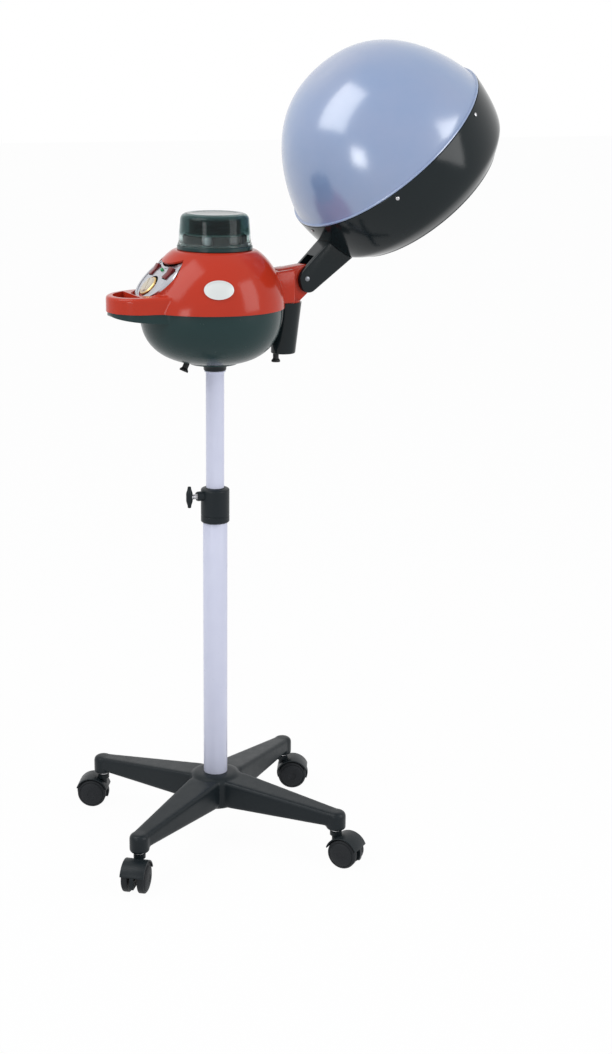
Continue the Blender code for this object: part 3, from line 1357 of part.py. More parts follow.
def hood_arm(hinge, hood):
    """The black fork that carries the ring: two cheeks beside the bracket's tongue, and a beam."""
    width = BRACKET_TONGUE_WIDTH + 2 * (CHEEK_WIDTH + GAP)
    reach = HOOD_REACH - RING_MOUTH_RADIUS + ARM_RING_REACH
    heel = arc(-ARM_HEEL_SHIFT, -ARM_HEEL_DROP, ARM_HEEL_RADIUS, 150, 267, 9)
    shoulder = (ARM_SHOULDER - 0.016, ARM_TOP - 0.0003)
    back = (heel[0][0] + 0.0018, heel[0][1] + 0.0087)
    flare = math.tan(math.radians(ARM_FLARE)) * reach
    outline = bezier((ARM_SHOULDER, ARM_TOP), shoulder, back, heel[0], 4) + heel
    outline += [(reach, heel[-1][1] - flare), (reach, ARM_TOP + 2 * flare)]
    arm = piece("hood_arm", side_prism(outline, width), material("hood_arm", **BLACK_PLASTIC), hinge)
    round_edges(arm, ARM_EDGE, 2, 60)
    corners = [(-ARM_GAP_REACH, -ARM_GAP_REACH), (ARM_WEB_START, -ARM_GAP_REACH)]
    corners += [(ARM_WEB_START, ARM_GAP_REACH), (-ARM_GAP_REACH, ARM_GAP_REACH)]
    cut(arm, tool("fork gap", side_prism(corners, BRACKET_TONGUE_WIDTH + 2 * GAP), hinge))
    above = 0.010
    below = -RING_HEIGHT - 0.0235
    outside = [(0, above), (RING_TOP_RADIUS, above)] + shifted(ring_side(), -GAP)
    outside += [(RING_MOUTH_RADIUS, below), (0, below)]
    cut(arm, tool("ring outside", turned(outside, LARGE_STEPS), hood))
    pin_hole = laid_along(rod(HINGE_PIN_RADIUS + GAP, -width, width), "Y")
    cut(arm, tool("arm pin hole", pin_hole, hinge))
    pin = laid_along(rod(HINGE_PIN_RADIUS, -width / 2 - PIN_PROUD, width / 2 + PIN_PROUD), "Y")
    piece("hinge_pin", pin, material("hinge_pin", **STEEL), hinge)


def steam_nozzle(hood):
    """A short outlet inside the ring, where the arm meets it; its flared foot follows the ring's wall."""
    height = -RING_HEIGHT / 2
    foot = -RING_TOP_RADIUS - NOZZLE_ROOT / 2
    flare = -RING_TOP_RADIUS + NOZZLE_ROOT
    mouth = flare + NOZZLE_LENGTH
    bore = NOZZLE_RADIUS - NOZZLE_WALL
    profile = [
        (bore, foot),
        (NOZZLE_FLANGE, foot),
        (NOZZLE_FLANGE, flare),
        (NOZZLE_RADIUS, flare + NOZZLE_CONE),
        (NOZZLE_RADIUS, mouth),
        (bore, mouth),
    ]
    shape = laid_along(turned(profile, 20), "X")
    nozzle = piece("steam_nozzle", shape, material("steam_nozzle", **BLACK_PLASTIC), hood, (0, 0, height))
    inside = turned([(0, 0.0)] + shifted(ring_side(), RING_WALL + GAP) + [(0, -RING_HEIGHT)], LARGE_STEPS)
    combine(nozzle, tool("inside of the ring", inside, hood), "INTERSECT")


def add_hood(head):
    hinge = pivot("hood hinge", head, (HINGE_X, 0, HINGE_Z), (0, -HOOD_TILT, 0))
    hood = pivot("hood axis", hinge, (HOOD_REACH, 0, HOOD_RISE), (0, -HOOD_LEAN, 0))
    hood_ring(hood)
    steam_nozzle(hood)
    hood_dome(hood)
    dome_screws(hood)
    hood_arm(hinge, hood)


# ---------------------------------------------------------------- assembly


def add_stand(stand):
    star_base(stand)
    base_fastening(stand)
    lower_tube(stand)
    guide_bush(stand)
    clamp_collar(stand)
    clamp_handle(stand)
    add_casters(stand)


def add_head(head):
    panel = pivot("panel plane", head, (PANEL_X, 0, PANEL_Z), (0, -PANEL_SLOPE, 0))
    neck_socket(head)
    lower_bowl(head)
    cover = upper_cover(head, panel)
    panel_holes(cover, panel, "cover")
    panel_plate(panel)
    axis = dial(panel)
    spindle_hole = rod(SPINDLE_RADIUS + GAP, -0.015, 0.015, 12)
    cut(cover, tool("cover spindle hole", spindle_hole, axis))
    control_board(cover, axis)
    for name, across in zip(("rocker_left", "rocker_right"), ROCKER_PLACES):
        rocker(name, panel, across)
    indicator_lamp(panel)
    badge_plate(head)
    boiler(head)
    tank_seat(head)
    boiler_head(head)
    tank_cover(head)
    power_inlet(head)
    drain_plug(head)
    hinge_bracket(head)
    condensate_cup(head)


def stand_on_origin(stand):
    """Moves the whole so that the origin is on the floor under the middle of the bounding box."""
    bpy.context.view_layer.update()
    graph = bpy.context.evaluated_depsgraph_get()
    corners = []
    for item in bpy.context.scene.objects:
        if item.type == "MESH" and not item.hide_render:
            evaluated = item.evaluated_get(graph)
            corners += [evaluated.matrix_world @ vertex.co for vertex in evaluated.data.vertices]
    for axis in (0, 1):
        values = [corner[axis] for corner in corners]
        stand.location[axis] = -(min(values) + max(values)) / 2
    stand.location[2] = -min(corner[2] for corner in corners)


def main():
    for item in list(bpy.data.objects):
        bpy.data.objects.remove(item)
    stand = pivot("stand")
    add_stand(stand)
    slide = mast(stand)
    head = pivot("head swivel", slide)
    add_head(head)
    add_hood(head)
    stand_on_origin(stand)


main()
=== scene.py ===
import math

import bpy
from mathutils import Euler, Matrix, Vector


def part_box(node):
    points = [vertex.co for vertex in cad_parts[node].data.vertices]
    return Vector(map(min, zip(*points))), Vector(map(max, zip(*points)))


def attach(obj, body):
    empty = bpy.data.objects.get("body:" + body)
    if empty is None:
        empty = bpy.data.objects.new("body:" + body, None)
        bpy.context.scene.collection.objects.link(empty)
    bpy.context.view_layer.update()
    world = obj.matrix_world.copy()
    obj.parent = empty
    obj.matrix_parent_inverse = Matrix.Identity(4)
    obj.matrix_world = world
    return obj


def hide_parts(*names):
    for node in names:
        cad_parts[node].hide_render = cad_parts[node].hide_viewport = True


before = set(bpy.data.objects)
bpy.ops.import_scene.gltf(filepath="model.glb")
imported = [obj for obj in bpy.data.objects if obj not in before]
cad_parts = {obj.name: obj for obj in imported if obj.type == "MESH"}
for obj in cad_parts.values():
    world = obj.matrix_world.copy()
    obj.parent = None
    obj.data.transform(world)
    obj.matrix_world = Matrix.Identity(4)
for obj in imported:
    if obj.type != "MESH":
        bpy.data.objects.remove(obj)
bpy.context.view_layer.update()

# Camera. It stands beside the machine, a little towards the handle, at the height of the dome's crown,
# and looks down on all of it. Every piece is placed from the foot of the pole's axis. The focal length
# and the picture's height are in the picture's own pixels.
TUBE_TOP = 0.560
SENSOR_HEIGHT = 36
FOCAL_LENGTH = 1737.62
PICTURE_HEIGHT = 1054
tube_low, tube_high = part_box("lower_tube")
pole = Vector(((tube_low.x + tube_high.x) / 2, (tube_low.y + tube_high.y) / 2, tube_high.z - TUBE_TOP))
camera_place = Vector((-1.0206, -2.4044, 1.2380))
pitch = math.radians(15.418)
yaw = math.radians(3.103)
roll = math.radians(0.742)
heading = math.atan2(-camera_place.y, -camera_place.x) - yaw
forward = Vector((math.cos(heading) * math.cos(pitch), math.sin(heading) * math.cos(pitch), -math.sin(pitch)))
level_right = forward.cross(Vector((0, 0, 1))).normalized()
level_up = level_right.cross(forward)
right = level_right * math.cos(roll) + level_up * math.sin(roll)
up = level_up * math.cos(roll) - level_right * math.sin(roll)
camera_data = bpy.data.cameras.new("camera")
camera_data.sensor_fit = "VERTICAL"
camera_data.sensor_height = SENSOR_HEIGHT
camera_data.lens = SENSOR_HEIGHT * FOCAL_LENGTH / PICTURE_HEIGHT
camera_data.clip_end = 60
camera = bpy.data.objects.new("camera", camera_data)
bpy.context.scene.collection.objects.link(camera)
sight = Matrix((right, up, -forward)).transposed().to_4x4()
camera.matrix_world = Matrix.Translation(pole + camera_place) @ sight
bpy.context.scene.camera = camera
bpy.context.scene.view_settings.view_transform = "Standard"


# White studio. The backdrop is plain white to the eye, and the floor keeps the machine's soft shadow.
# Metal, gloss and clear plastic see the same white round them; the lamps are large soft panels.
def fitted(tree, kind, entries):
    """A new node of a kind, with some of its entries set."""
    node = tree.nodes.new("ShaderNode" + kind)
    for entry, value in entries.items():
        node.inputs[entry].default_value = value
    return node


def wire(source, output, target, entry):
    """Links an output of one node to an entry of another."""
    target.id_data.links.new(source.outputs[output], target.inputs[entry])


def seen_directly(tree):
    """A node that gives 1 to what the eye, a reflection or a clear wall sees, and 0 to diffuse light."""
    rays = tree.nodes.new("ShaderNodeLightPath")
    eye_or_gloss = tree.nodes.new("ShaderNodeMath")
    any_of_them = tree.nodes.new("ShaderNodeMath")
    for larger in (eye_or_gloss, any_of_them):
        larger.operation = "MAXIMUM"
    wire(rays, "Is Camera Ray", eye_or_gloss, 0)
    wire(rays, "Is Glossy Ray", eye_or_gloss, 1)
    wire(eye_or_gloss, 0, any_of_them, 0)
    wire(rays, "Is Transmission Ray", any_of_them, 1)
    return any_of_them


def send_mixed(tree, factor, lit, white, output):
    """Mixes the lit shader with plain white by a factor, and sends them to the output."""
    both = tree.nodes.new("ShaderNodeMixShader")
    wire(factor, 0, both, 0)
    wire(lit, 0, both, 1)
    wire(white, 0, both, 2)
    wire(both, 0, tree.nodes.new(output), 0)


DAYLIGHT = 0.52
studio = bpy.data.worlds.new("studio")
bpy.context.scene.world = studio
studio.use_nodes = True
sky = studio.node_tree
sky.nodes.clear()
daylight = fitted(sky, "Background", {"Color": (0.95, 0.97, 1.0, 1), "Strength": DAYLIGHT})
white_air = fitted(sky, "Background", {"Color": (1, 1, 1, 1), "Strength": 1.0})
send_mixed(sky, seen_directly(sky), daylight, white_air, "ShaderNodeOutputWorld")

FLOOR_WHITE = 0.97
bpy.ops.object.select_all(action="DESELECT")
bpy.ops.mesh.primitive_plane_add(size=40, location=(0, 0, -0.0004))
floor = bpy.context.object
floor.name = "floor"
pale = bpy.data.materials.new("pale_floor")
pale.use_nodes = True
pale_tree = pale.node_tree
pale_tree.nodes.clear()
matt = fitted(pale_tree, "BsdfDiffuse", {"Color": (0.86, 0.86, 0.87, 1)})
white_paper = fitted(pale_tree, "Emission", {"Color": (1, 1, 1, 1), "Strength": 1.0})
nearly_all = fitted(pale_tree, "Math", {1: FLOOR_WHITE})
nearly_all.operation = "MULTIPLY"
wire(seen_directly(pale_tree), 0, nearly_all, 0)
send_mixed(pale_tree, nearly_all, matt, white_paper, "ShaderNodeOutputMaterial")
floor.data.materials.append(pale)


def soft_panel(name, place, target, width, height, power):
    """A large soft lamp that faces its target."""
    lamp_data = bpy.data.lights.new(name, "AREA")
    lamp_data.shape = "RECTANGLE"
    lamp_data.size = width
    lamp_data.size_y = height
    lamp_data.energy = power
    lamp = bpy.data.objects.new(name, lamp_data)
    bpy.context.scene.collection.objects.link(lamp)
    lamp.location = pole + Vector(place)
    lamp.rotation_euler = (Vector(target) - Vector(place)).to_track_quat("-Z", "Y").to_euler()
    return lamp


soft_panel("left_panel", (-1.36, -0.02, 2.36), (0.16, -0.08, 1.15), 1.3, 1.75, 24)
soft_panel("small_panel", (-1.92, -1.29, 1.0), (0.17, -0.12, 1.08), 0.55, 0.55, 6)
soft_panel("right_panel", (1.81, -2.17, 1.78), (0.3, -0.16, 1.1), 1.4, 2.2, 38)


# Star base. One black nylon moulding: a round hub with four tapering legs, each with a boss for a caster.
# It is moulded in one shot, so hub, legs and bosses run into each other with soft corners.
def clear_selection():
    """Leaves edit mode and deselects everything."""
    if bpy.context.object and bpy.context.object.mode != "OBJECT":
        bpy.ops.object.mode_set(mode="OBJECT")
    bpy.ops.object.select_all(action="DESELECT")


def pick(piece):
    """Selects one piece alone and makes it the active one."""
    clear_selection()
    piece.select_set(True)
    bpy.context.view_layer.objects.active = piece


def lathe(name, outline, steps=96):
    """Turns an outline of (radius, height) points about the Z axis."""
    clear_selection()
    bpy.ops.mesh.primitive_plane_add(size=0.01)
    piece = bpy.context.object
    piece.name = name
    bpy.ops.object.mode_set(mode="EDIT")
    bpy.ops.mesh.select_mode(type="VERT")
    bpy.ops.mesh.select_all(action="SELECT")
    bpy.ops.mesh.merge(type="CENTER")
    here = Vector((0, 0, 0))
    for number, (radius, height) in enumerate(outline):
        point = Vector((radius, 0, height))
        if number == 0:
            bpy.ops.transform.translate(value=point)
        else:
            bpy.ops.mesh.extrude_region_move(TRANSFORM_OT_translate={"value": point - here})
        here = point
    bpy.ops.mesh.select_all(action="SELECT")
    bpy.ops.mesh.spin(steps=steps, angle=2 * math.pi, center=(0, 0, 0), axis=(0, 0, 1))
    bpy.ops.mesh.select_all(action="SELECT")
    bpy.ops.mesh.remove_doubles(threshold=0.000002)
    bpy.ops.mesh.normals_make_consistent(inside=False)
    bpy.ops.object.mode_set(mode="OBJECT")
    return piece


def rod(name, radius, low, high, steps, edge=0):
    """A plain round rod, also for a round hole, with or without a small chamfer at its ends."""
    line = [(0, low), (radius - edge, low)]
    if edge:
        line += [(radius, low + edge), (radius, high - edge)]
    return lathe(name, line + [(radius - edge, high), (0, high)], steps)


def sawn(name, outline, low, high):
    """Saws an outline out of a sheet that lies between two heights."""
    clear_selection()
    bpy.ops.mesh.primitive_circle_add(vertices=len(outline), radius=1, fill_type="NGON")
    piece = bpy.context.object
    piece.name = name
    for vertex, (x, y) in zip(piece.data.vertices, outline):
        vertex.co = (x, y, low)
    bpy.ops.object.mode_set(mode="EDIT")
    bpy.ops.mesh.select_all(action="SELECT")
    bpy.ops.mesh.extrude_region_move(TRANSFORM_OT_translate={"value": (0, 0, high - low)})
    bpy.ops.mesh.select_all(action="SELECT")
    bpy.ops.mesh.normals_make_consistent(inside=False)
    bpy.ops.object.mode_set(mode="OBJECT")
    return piece


def bar(name, size, centre):
    """A block of a size about a centre, for shaping or cutting."""
    clear_selection()
    bpy.ops.mesh.primitive_cube_add(size=1)
    piece = bpy.context.object
    piece.name = name
    bpy.ops.object.mode_set(mode="EDIT")
    bpy.ops.mesh.select_all(action="SELECT")
    bpy.ops.transform.resize(value=size)
    bpy.ops.transform.translate(value=centre)
    bpy.ops.object.mode_set(mode="OBJECT")
    return piece


def settle(piece, matrix):
    """Moves a piece's mesh to its place, and leaves its object at the origin."""
    piece.matrix_world = matrix
    pick(piece)
    bpy.ops.object.transform_apply(location=True, rotation=True, scale=True)
    return piece


def shifted(x, y, z):
    """A move along the three axes."""
    return Matrix.Translation((x, y, z))


def turned(angle, axis):
    """A turn about an axis, by an angle in degrees."""
    return Matrix.Rotation(math.radians(angle), 4, axis)


def at(x, y, z):
    """A place measured from the foot of the pole's axis."""
    return Matrix.Translation(pole + Vector((x, y, z)))


def combine(piece, other, operation):
    """Works another solid into a piece in the way that the operation names, and removes it."""
    pick(piece)
    step = piece.modifiers.new("combine", "BOOLEAN")
    step.operation = operation
    step.object = other
    step.solver = "EXACT"
    bpy.ops.object.modifier_apply(modifier=step.name)
    bpy.data.objects.remove(other)
    return piece


def join(piece, other):
    """Joins another solid to a piece."""
    return combine(piece, other, "UNION")


def cut(piece, other):
    """Cuts another solid out of a piece."""
    return combine(piece, other, "DIFFERENCE")


def rounded(piece, width, segments=3, angle=40):
    """Rounds a piece's sharp edges."""
    pick(piece)
    step = piece.modifiers.new("round edges", "BEVEL")
    step.width = width
    step.segments = segments
    step.limit_method = "ANGLE"
    step.angle_limit = math.radians(angle)
    step.harden_normals = False
    bpy.ops.object.modifier_apply(modifier=step.name)
    return piece


def melted(piece, grain, rounds):
    """Runs joined forms into one skin with soft corners, as in a moulding."""
    pick(piece)
    skin = piece.modifiers.new("one skin", "REMESH")
    skin.mode = "VOXEL"
    skin.voxel_size = grain
    bpy.ops.object.modifier_apply(modifier=skin.name)
    soft = piece.modifiers.new("soft corners", "SMOOTH")
    soft.factor = 0.5
    soft.iterations = rounds
    bpy.ops.object.modifier_apply(modifier=soft.name)
    return piece


def bend(start, first, second, end, count):
    """Points along a smooth bend, both ends included."""
    points = []
    for i in range(count + 1):
        t = i / count
        weights = ((1 - t) ** 3, 3 * t * (1 - t) ** 2, 3 * t * t * (1 - t), t**3)
        x = sum(w * p[0] for w, p in zip(weights, (start, first, second, end)))
        y = sum(w * p[1] for w, p in zip(weights, (start, first, second, end)))
        points.append((x, y))
    return points


def sweep(x, y, radius, start, end, count):
    """Points along an arc, both ends included, with angles in degrees."""
    angles = [math.radians(start + (end - start) * i / count) for i in range(count + 1)]
    return [(x + radius * math.cos(a), y + radius * math.sin(a)) for a in angles]


def clouded(name, colour, second, scale, detail):
    """A surface whose colour drifts between two close tones."""
    surface = bpy.data.materials.new(name)
    surface.use_nodes = True
    tree = surface.node_tree
    place = tree.nodes.new("ShaderNodeTexCoord")
    cloud = fitted(tree, "TexNoise", {"Scale": scale, "Detail": detail})
    tones = tree.nodes.new("ShaderNodeMix")
    tones.data_type = "RGBA"
    tones.inputs["A"].default_value = (*colour, 1)
    tones.inputs["B"].default_value = (*second, 1)
    wire(place, "Object", cloud, "Vector")
    wire(cloud, "Fac", tones, "Factor")
    wire(tones, "Result", tree.nodes["Principled BSDF"], "Base Color")
    return surface


def moulded_plastic(name, colour, second, roughness, grain, depth, sheen=0.28, patches=9.0):
    """Plastic with slightly uneven colour and gloss, and the fine skin of its mould."""
    surface = clouded(name, colour, second, patches, 5)
    tree = surface.node_tree
    shader = tree.nodes["Principled BSDF"]
    shader.inputs["Specular IOR Level"].default_value = sheen
    haze = fitted(tree, "TexNoise", {"Scale": patches * 7, "Detail": 3})
    gloss = fitted(tree, "MapRange", {"To Min": roughness * 0.75, "To Max": roughness * 1.3})
    skin = fitted(tree, "TexNoise", {"Scale": grain, "Detail": 2})
    relief = fitted(tree, "Bump", {"Strength": 0.25, "Distance": depth})
    for texture in (haze, skin):
        wire(tree.nodes["Texture Coordinate"], "Object", texture, "Vector")
    wire(haze, "Fac", gloss, "Value")
    wire(gloss, "Result", shader, "Roughness")
    wire(skin, "Fac", relief, "Height")
    wire(relief, "Normal", shader, "Normal")
    return surface


def coat(piece, *surfaces):
    """Gives a piece its surfaces, in place of any that it has."""
    piece.data.materials.clear()
    for surface in surfaces:
        piece.data.materials.append(surface)


def hand_over(piece, surface, body, slot, *nodes):
    """Gives a finished piece its surface and its body, and hides the solids of the nodes that it stands for.
    """
    if surface:
        coat(piece, surface)
    pick(piece)
    bpy.ops.object.shade_smooth_by_angle(angle=math.radians(38))
    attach(piece, body)
    if nodes:
        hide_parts(*nodes)
    return piece


NYLON_TONES = (0.007, 0.011, 0.014), (0.013, 0.018, 0.021)
black_nylon = moulded_plastic("black_nylon", *NYLON_TONES, 0.36, 2600, 0.0002, 0.20)
HUB_RADIUS = 0.041
LEG_REACH = 0.221
LEG_TURN = 35.5
hub_outline = [(0, 0.0565), (HUB_RADIUS - 0.003, 0.0565), (HUB_RADIUS, 0.0595), (HUB_RADIUS, 0.096)]
hub_outline += sweep(HUB_RADIUS - 0.012, 0.0965, 0.012, 5, 85, 8) + [(0.026, 0.109), (0, 0.109)]
base = settle(lathe("star_base_moulding", hub_outline), at(0, 0, 0))
for number in range(4):
    leg = bar("leg", (0.030, 0.0525, 0.0445), (0.027, 0, 0.0815))
    pick(leg)
    bpy.ops.object.mode_set(mode="EDIT")
    bpy.ops.mesh.select_mode(type="FACE")
    bpy.ops.mesh.select_all(action="DESELECT")
    bpy.ops.object.mode_set(mode="OBJECT")
    for face in leg.data.polygons:
        face.select = face.normal.x > 0.9
    bpy.ops.object.mode_set(mode="EDIT")
    bpy.ops.mesh.extrude_region_move(TRANSFORM_OT_translate={"value": (LEG_REACH - 0.042, 0, -0.0062)})
    bpy.ops.transform.resize(value=(1, 0.52, 0.52))
    bpy.ops.object.mode_set(mode="OBJECT")
    rounded(leg, 0.0055, 4)
    boss_outline = [(0, 0.0585), (0.0145, 0.0585), (0.0153, 0.060), (0.0153, 0.080)]
    boss_outline += sweep(0.0075, 0.080, 0.0078, 5, 85, 6) + [(0, 0.0878)]
    boss = lathe("boss", boss_outline, 48)
    settle(boss, shifted(LEG_REACH, 0, 0))
    join(leg, boss)
    settle(leg, at(0, 0, 0) @ turned(LEG_TURN + 90 * number, "Z"))
    join(base, leg)
melted(base, 0.0017, 9)
socket = settle(rod("socket", 0.0193, 0.066, 0.13, 96), at(0, 0, 0))
cut(base, socket)
hand_over(base, black_nylon, "stand", "black_plastic", "star_base")


# Casters. Each has a moulded housing with a hood over two wheels, a boss and a web between the wheels.
# The wheels are moulded with a dished outer face and a soft tread; the steel stem is pressed in the leg.
WHEEL_RADIUS = 0.024
TRAIL = 0.018


def bright_metal(name, colour, second, low, high, scale, detail=4):
    """Bare or plated metal with slightly cloudy gloss."""
    surface = clouded(name, colour, second, scale, detail)
    tree = surface.node_tree
    shader = tree.nodes["Principled BSDF"]
    shader.inputs["Metallic"].default_value = 1.0
    gloss = fitted(tree, "MapRange", {"To Min": low, "To Max": high})
    wire(tree.nodes["Noise Texture"], "Fac", gloss, "Value")
    wire(gloss, "Result", shader, "Roughness")
    return surface


RUBBER_TONES = (0.011, 0.013, 0.015), (0.020, 0.022, 0.025)
rubber = moulded_plastic("caster_tread", *RUBBER_TONES, 0.55, 1800, 0.0003, 0.20)
zinc = bright_metal("zinc_plate", (0.52, 0.52, 0.54), (0.66, 0.66, 0.68), 0.22, 0.42, 160, 2)
for number, turn in enumerate((-28, 150, 232, 307), start=1):
    leg_angle = math.radians(LEG_TURN + 90 * (number - 1))
    swivel = at(LEG_REACH * math.cos(leg_angle), LEG_REACH * math.sin(leg_angle), 0)
    swivel = swivel @ turned(turn, "Z")
    lay_down = shifted(TRAIL, 0, WHEEL_RADIUS) @ turned(-90, "X")
    hood_arc = sweep(0, 0, 0.0273, -20, -165, 22) + sweep(0, 0, 0.0252, -165, -20, 22)
    housing = rounded(sawn(f"caster_shell_{number}", hood_arc, -0.0188, 0.0188), 0.0008, 3)
    join(housing, sawn("web", sweep(0, 0, 0.0268, 22, -202, 24), -0.0029, 0.0029))
    settle(housing, lay_down)
    join(housing, rod("boss", 0.0093, 0.0475, 0.0552, 40, 0.0007))
    join(housing, rod("neck", 0.0061, 0.026, 0.050, 40))
    cut(housing, rod("stem hole", 0.0043, 0.030, 0.060, 32))
    cut(housing, settle(rod("axle hole", 0.0043, -0.005, 0.005, 32), lay_down))
    settle(housing, swivel)
    hand_over(housing, black_nylon, f"caster_{number}", "black_plastic", f"caster_housing_{number}")
    inner_face, tread_radius = 0.0072, WHEEL_RADIUS - 0.0004
    half = [(0.0038, inner_face), (0.0205, inner_face), (0.0223, inner_face + 0.0004)]
    half += sweep(tread_radius - 0.0016, inner_face + 0.0018, 0.0016, -70, 0, 4)
    half += [(tread_radius, 0.0150)] + sweep(tread_radius - 0.0022, 0.0152, 0.0022, 10, 60, 4)
    half += [(0.0205, 0.0183), (0.0203, 0.0178), (0.0192, 0.0176), (0.0188, 0.0184)]
    half += bend((0.0182, 0.0190), (0.0140, 0.0204), (0.0100, 0.0208), (0.0066, 0.0208), 6)
    half += [(0.0062, 0.0203), (0.0050, 0.0201), (0, 0.0201)]
    wheel_line = [(radius, -along) for radius, along in half[::-1]] + half
    wheels = lathe(f"caster_wheel_pair_{number}", wheel_line, 72)
    settle(wheels, swivel @ lay_down)
    hand_over(wheels, rubber, f"wheels_{number}", "wheel_rubber", f"caster_wheels_{number}")
    stem_line = [(0, 0.0285), (0.004, 0.0285), (0.004, 0.0557), (0.0082, 0.0557), (0.0085, 0.056)]
    stem_line += [(0.0085, 0.0574), (0.0082, 0.0577), (0.0055, 0.0577), (0.0055, 0.0778), (0, 0.0778)]
    stem = settle(lathe(f"caster_pin_{number}", stem_line, 40), swivel)
    hand_over(stem, zinc, "stand", "steel", f"caster_stem_{number}")


# Pole. Two steel tubes, whose pale lilac-white powder paint has a skin like the mouldings' with a coarser
# orange peel. The upper one slides in the lower one and has a thin bead under the neck. The bolt and the
# insert at the foot draw the pole into the hub.
LILAC_TONES = (0.60, 0.62, 0.77), (0.68, 0.70, 0.83)
lilac_paint = moulded_plastic("lilac_paint", *LILAC_TONES, 0.30, 700, 0.0004, patches=22)
lower_line = [(0.0175, 0.0645), (0.0188, 0.0645), (0.019, 0.0648), (0.019, 0.5593), (0.0187, 0.5598)]
lower_line += [(0.0178, 0.5598), (0.0175, 0.5594), (0.0175, 0.0645)]
lower_pole = settle(lathe("lower_pole", lower_line, 96), at(0, 0, 0))
hand_over(lower_pole, lilac_paint, "stand", "lilac_paint", "lower_tube")
rim_line = [(0.014, 0.7618), (0.0158, 0.7621), (0.0162, 0.7626), (0.0162, 0.7636), (0.0158, 0.7641)]
rim_line += [(0.014, 0.7643)]
upper_line = [(0.0125, 0.3003), (0.0137, 0.3003), (0.014, 0.3006)] + rim_line
upper_line += [(0.014, 0.7894), (0.0137, 0.7898), (0.0128, 0.7898), (0.0125, 0.7894), (0.0125, 0.3003)]
upper_pole = settle(lathe("upper_pole", upper_line, 96), at(0, 0, 0))
hand_over(upper_pole, lilac_paint, "mast", "lilac_paint", "upper_tube")
for node in ("tube_insert", "base_bolt"):
    coat(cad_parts[node], zinc)


# Height clamp. A black collar sits over the tubes' joint, with a bush inside and a boss on its left side.
# A steel screw goes through the boss; its tapered cross bar is turned by hand to pinch the upper tube.
collar_line = [(0.0193, 0.5262), (0.0209, 0.5262), (0.0222, 0.5275), (0.0222, 0.5355), (0.0216, 0.5361)]
collar_line += [(0.0216, 0.5371), (0.0222, 0.5377), (0.0222, 0.5755)]
collar_line += sweep(0.0192, 0.5765, 0.0030, 0, 80, 6) + [(0.0147, 0.5814), (0.0146, 0.5778)]
collar_line += [(0.0193, 0.5776), (0.0193, 0.5262)]
CLAMP_HEIGHT = 0.5689
clamp_way = shifted(0, 0, CLAMP_HEIGHT) @ turned(90, "Y")
collar = lathe("height_collar", collar_line, 96)
side_boss = [(0, -0.019), (0.0080, -0.019), (0.0076, -0.0222), (0.0074, -0.0290), (0.0066, -0.0309)]
side_boss += [(0.0048, -0.0309), (0.0046, -0.0300), (0, -0.0300)]
join(collar, settle(lathe("boss", side_boss, 48), clamp_way))
cut(collar, settle(rod("through hole", 0.0043, -0.04, -0.01, 32), clamp_way))
settle(collar, at(0, 0, 0))
hand_over(collar, black_nylon, "stand", "black_plastic", "clamp_collar")
bush_line = [(0.0143, 0.5052), (0.0172, 0.5052), (0.0172, 0.5603), (0.0189, 0.5603), (0.0189, 0.5774)]
bush_line += [(0.0143, 0.5774), (0.0143, 0.5052)]
bush = settle(lathe("sliding_bush", bush_line, 72), at(0, 0, 0))
cut(bush, settle(rod("bush hole", 0.0043, -0.03, 0, 24), at(0, 0, 0) @ clamp_way))
hand_over(bush, black_nylon, "stand", "black_plastic", "guide_bush")
guide_line = [(0.0097, 0.2957), (0.0150, 0.2957), (0.0172, 0.2977), (0.0172, 0.3245), (0.0143, 0.3245)]
guide_line += [(0.0143, 0.2997), (0.0097, 0.2997), (0.0097, 0.2957)]
guide = settle(lathe("lower_guide", guide_line, 72), at(0, 0, 0))
hand_over(guide, black_nylon, "mast", "black_plastic", "tube_guide")
screw_line = [(0, -0.0429), (0.0036, -0.0429), (0.004, -0.0425)]
for turn in range(14):
    thread = -0.0395 + 0.0016 * turn
    for radius, rise in ((0.004, 0), (0.0034, 0.0006), (0.0034, 0.0009), (0.004, 0.0014)):
        screw_line.append((radius, thread + rise))
screw_line += [(0.004, -0.0150), (0.0034, -0.0144), (0, -0.0144)]
screw = settle(lathe("clamp_thread", screw_line, 40), at(0, 0, 0) @ clamp_way)
hand_over(screw, zinc, "clamp", "steel", "clamp_screw")
bar_line = [(0, -0.0169), (0.0018, -0.0169)] + sweep(0.0016, -0.0157, 0.0012, -80, 0, 4)
bar_line += bend((0.0028, -0.0150), (0.0030, -0.0110), (0.0051, -0.0085), (0.0051, -0.0050), 8)
bar_line += bend((0.0051, 0.0050), (0.0051, 0.0085), (0.0030, 0.0110), (0.0028, 0.0150), 8)
bar_line += sweep(0.0016, 0.0157, 0.0012, 0, 80, 4) + [(0, 0.0169)]
cross_bar = settle(lathe("clamp_cross_bar", bar_line, 48), at(-0.043, 0, CLAMP_HEIGHT))
cut(cross_bar, settle(rod("bar hole", 0.0042, -0.0433, -0.02, 24), at(0, 0, 0) @ clamp_way))
hand_over(cross_bar, black_nylon, "clamp", "chrome", "clamp_bar")


# Neck socket. A black moulded cup under the bowl that turns on the end of the pole. Its flared foot
# carries the bowl, and its spigot inside the bowl carries the boiler.
neck_line = [(0.0143, 0.7650), (0.0155, 0.7646)] + sweep(0.0160, 0.7658, 0.0012, -90, 0, 4)
neck_line += [(0.0174, 0.7690), (0.0204, 0.7725), (0.0204, 0.7745), (0.0179, 0.7745), (0.0179, 0.8028)]
neck_line += [(0, 0.8028), (0, 0.7903), (0.0143, 0.7903), (0.0143, 0.7650)]
neck = settle(lathe("pole_socket", neck_line, 96), at(0, 0, 0))
hand_over(neck, black_nylon, "head", "black_plastic", "neck_socket")


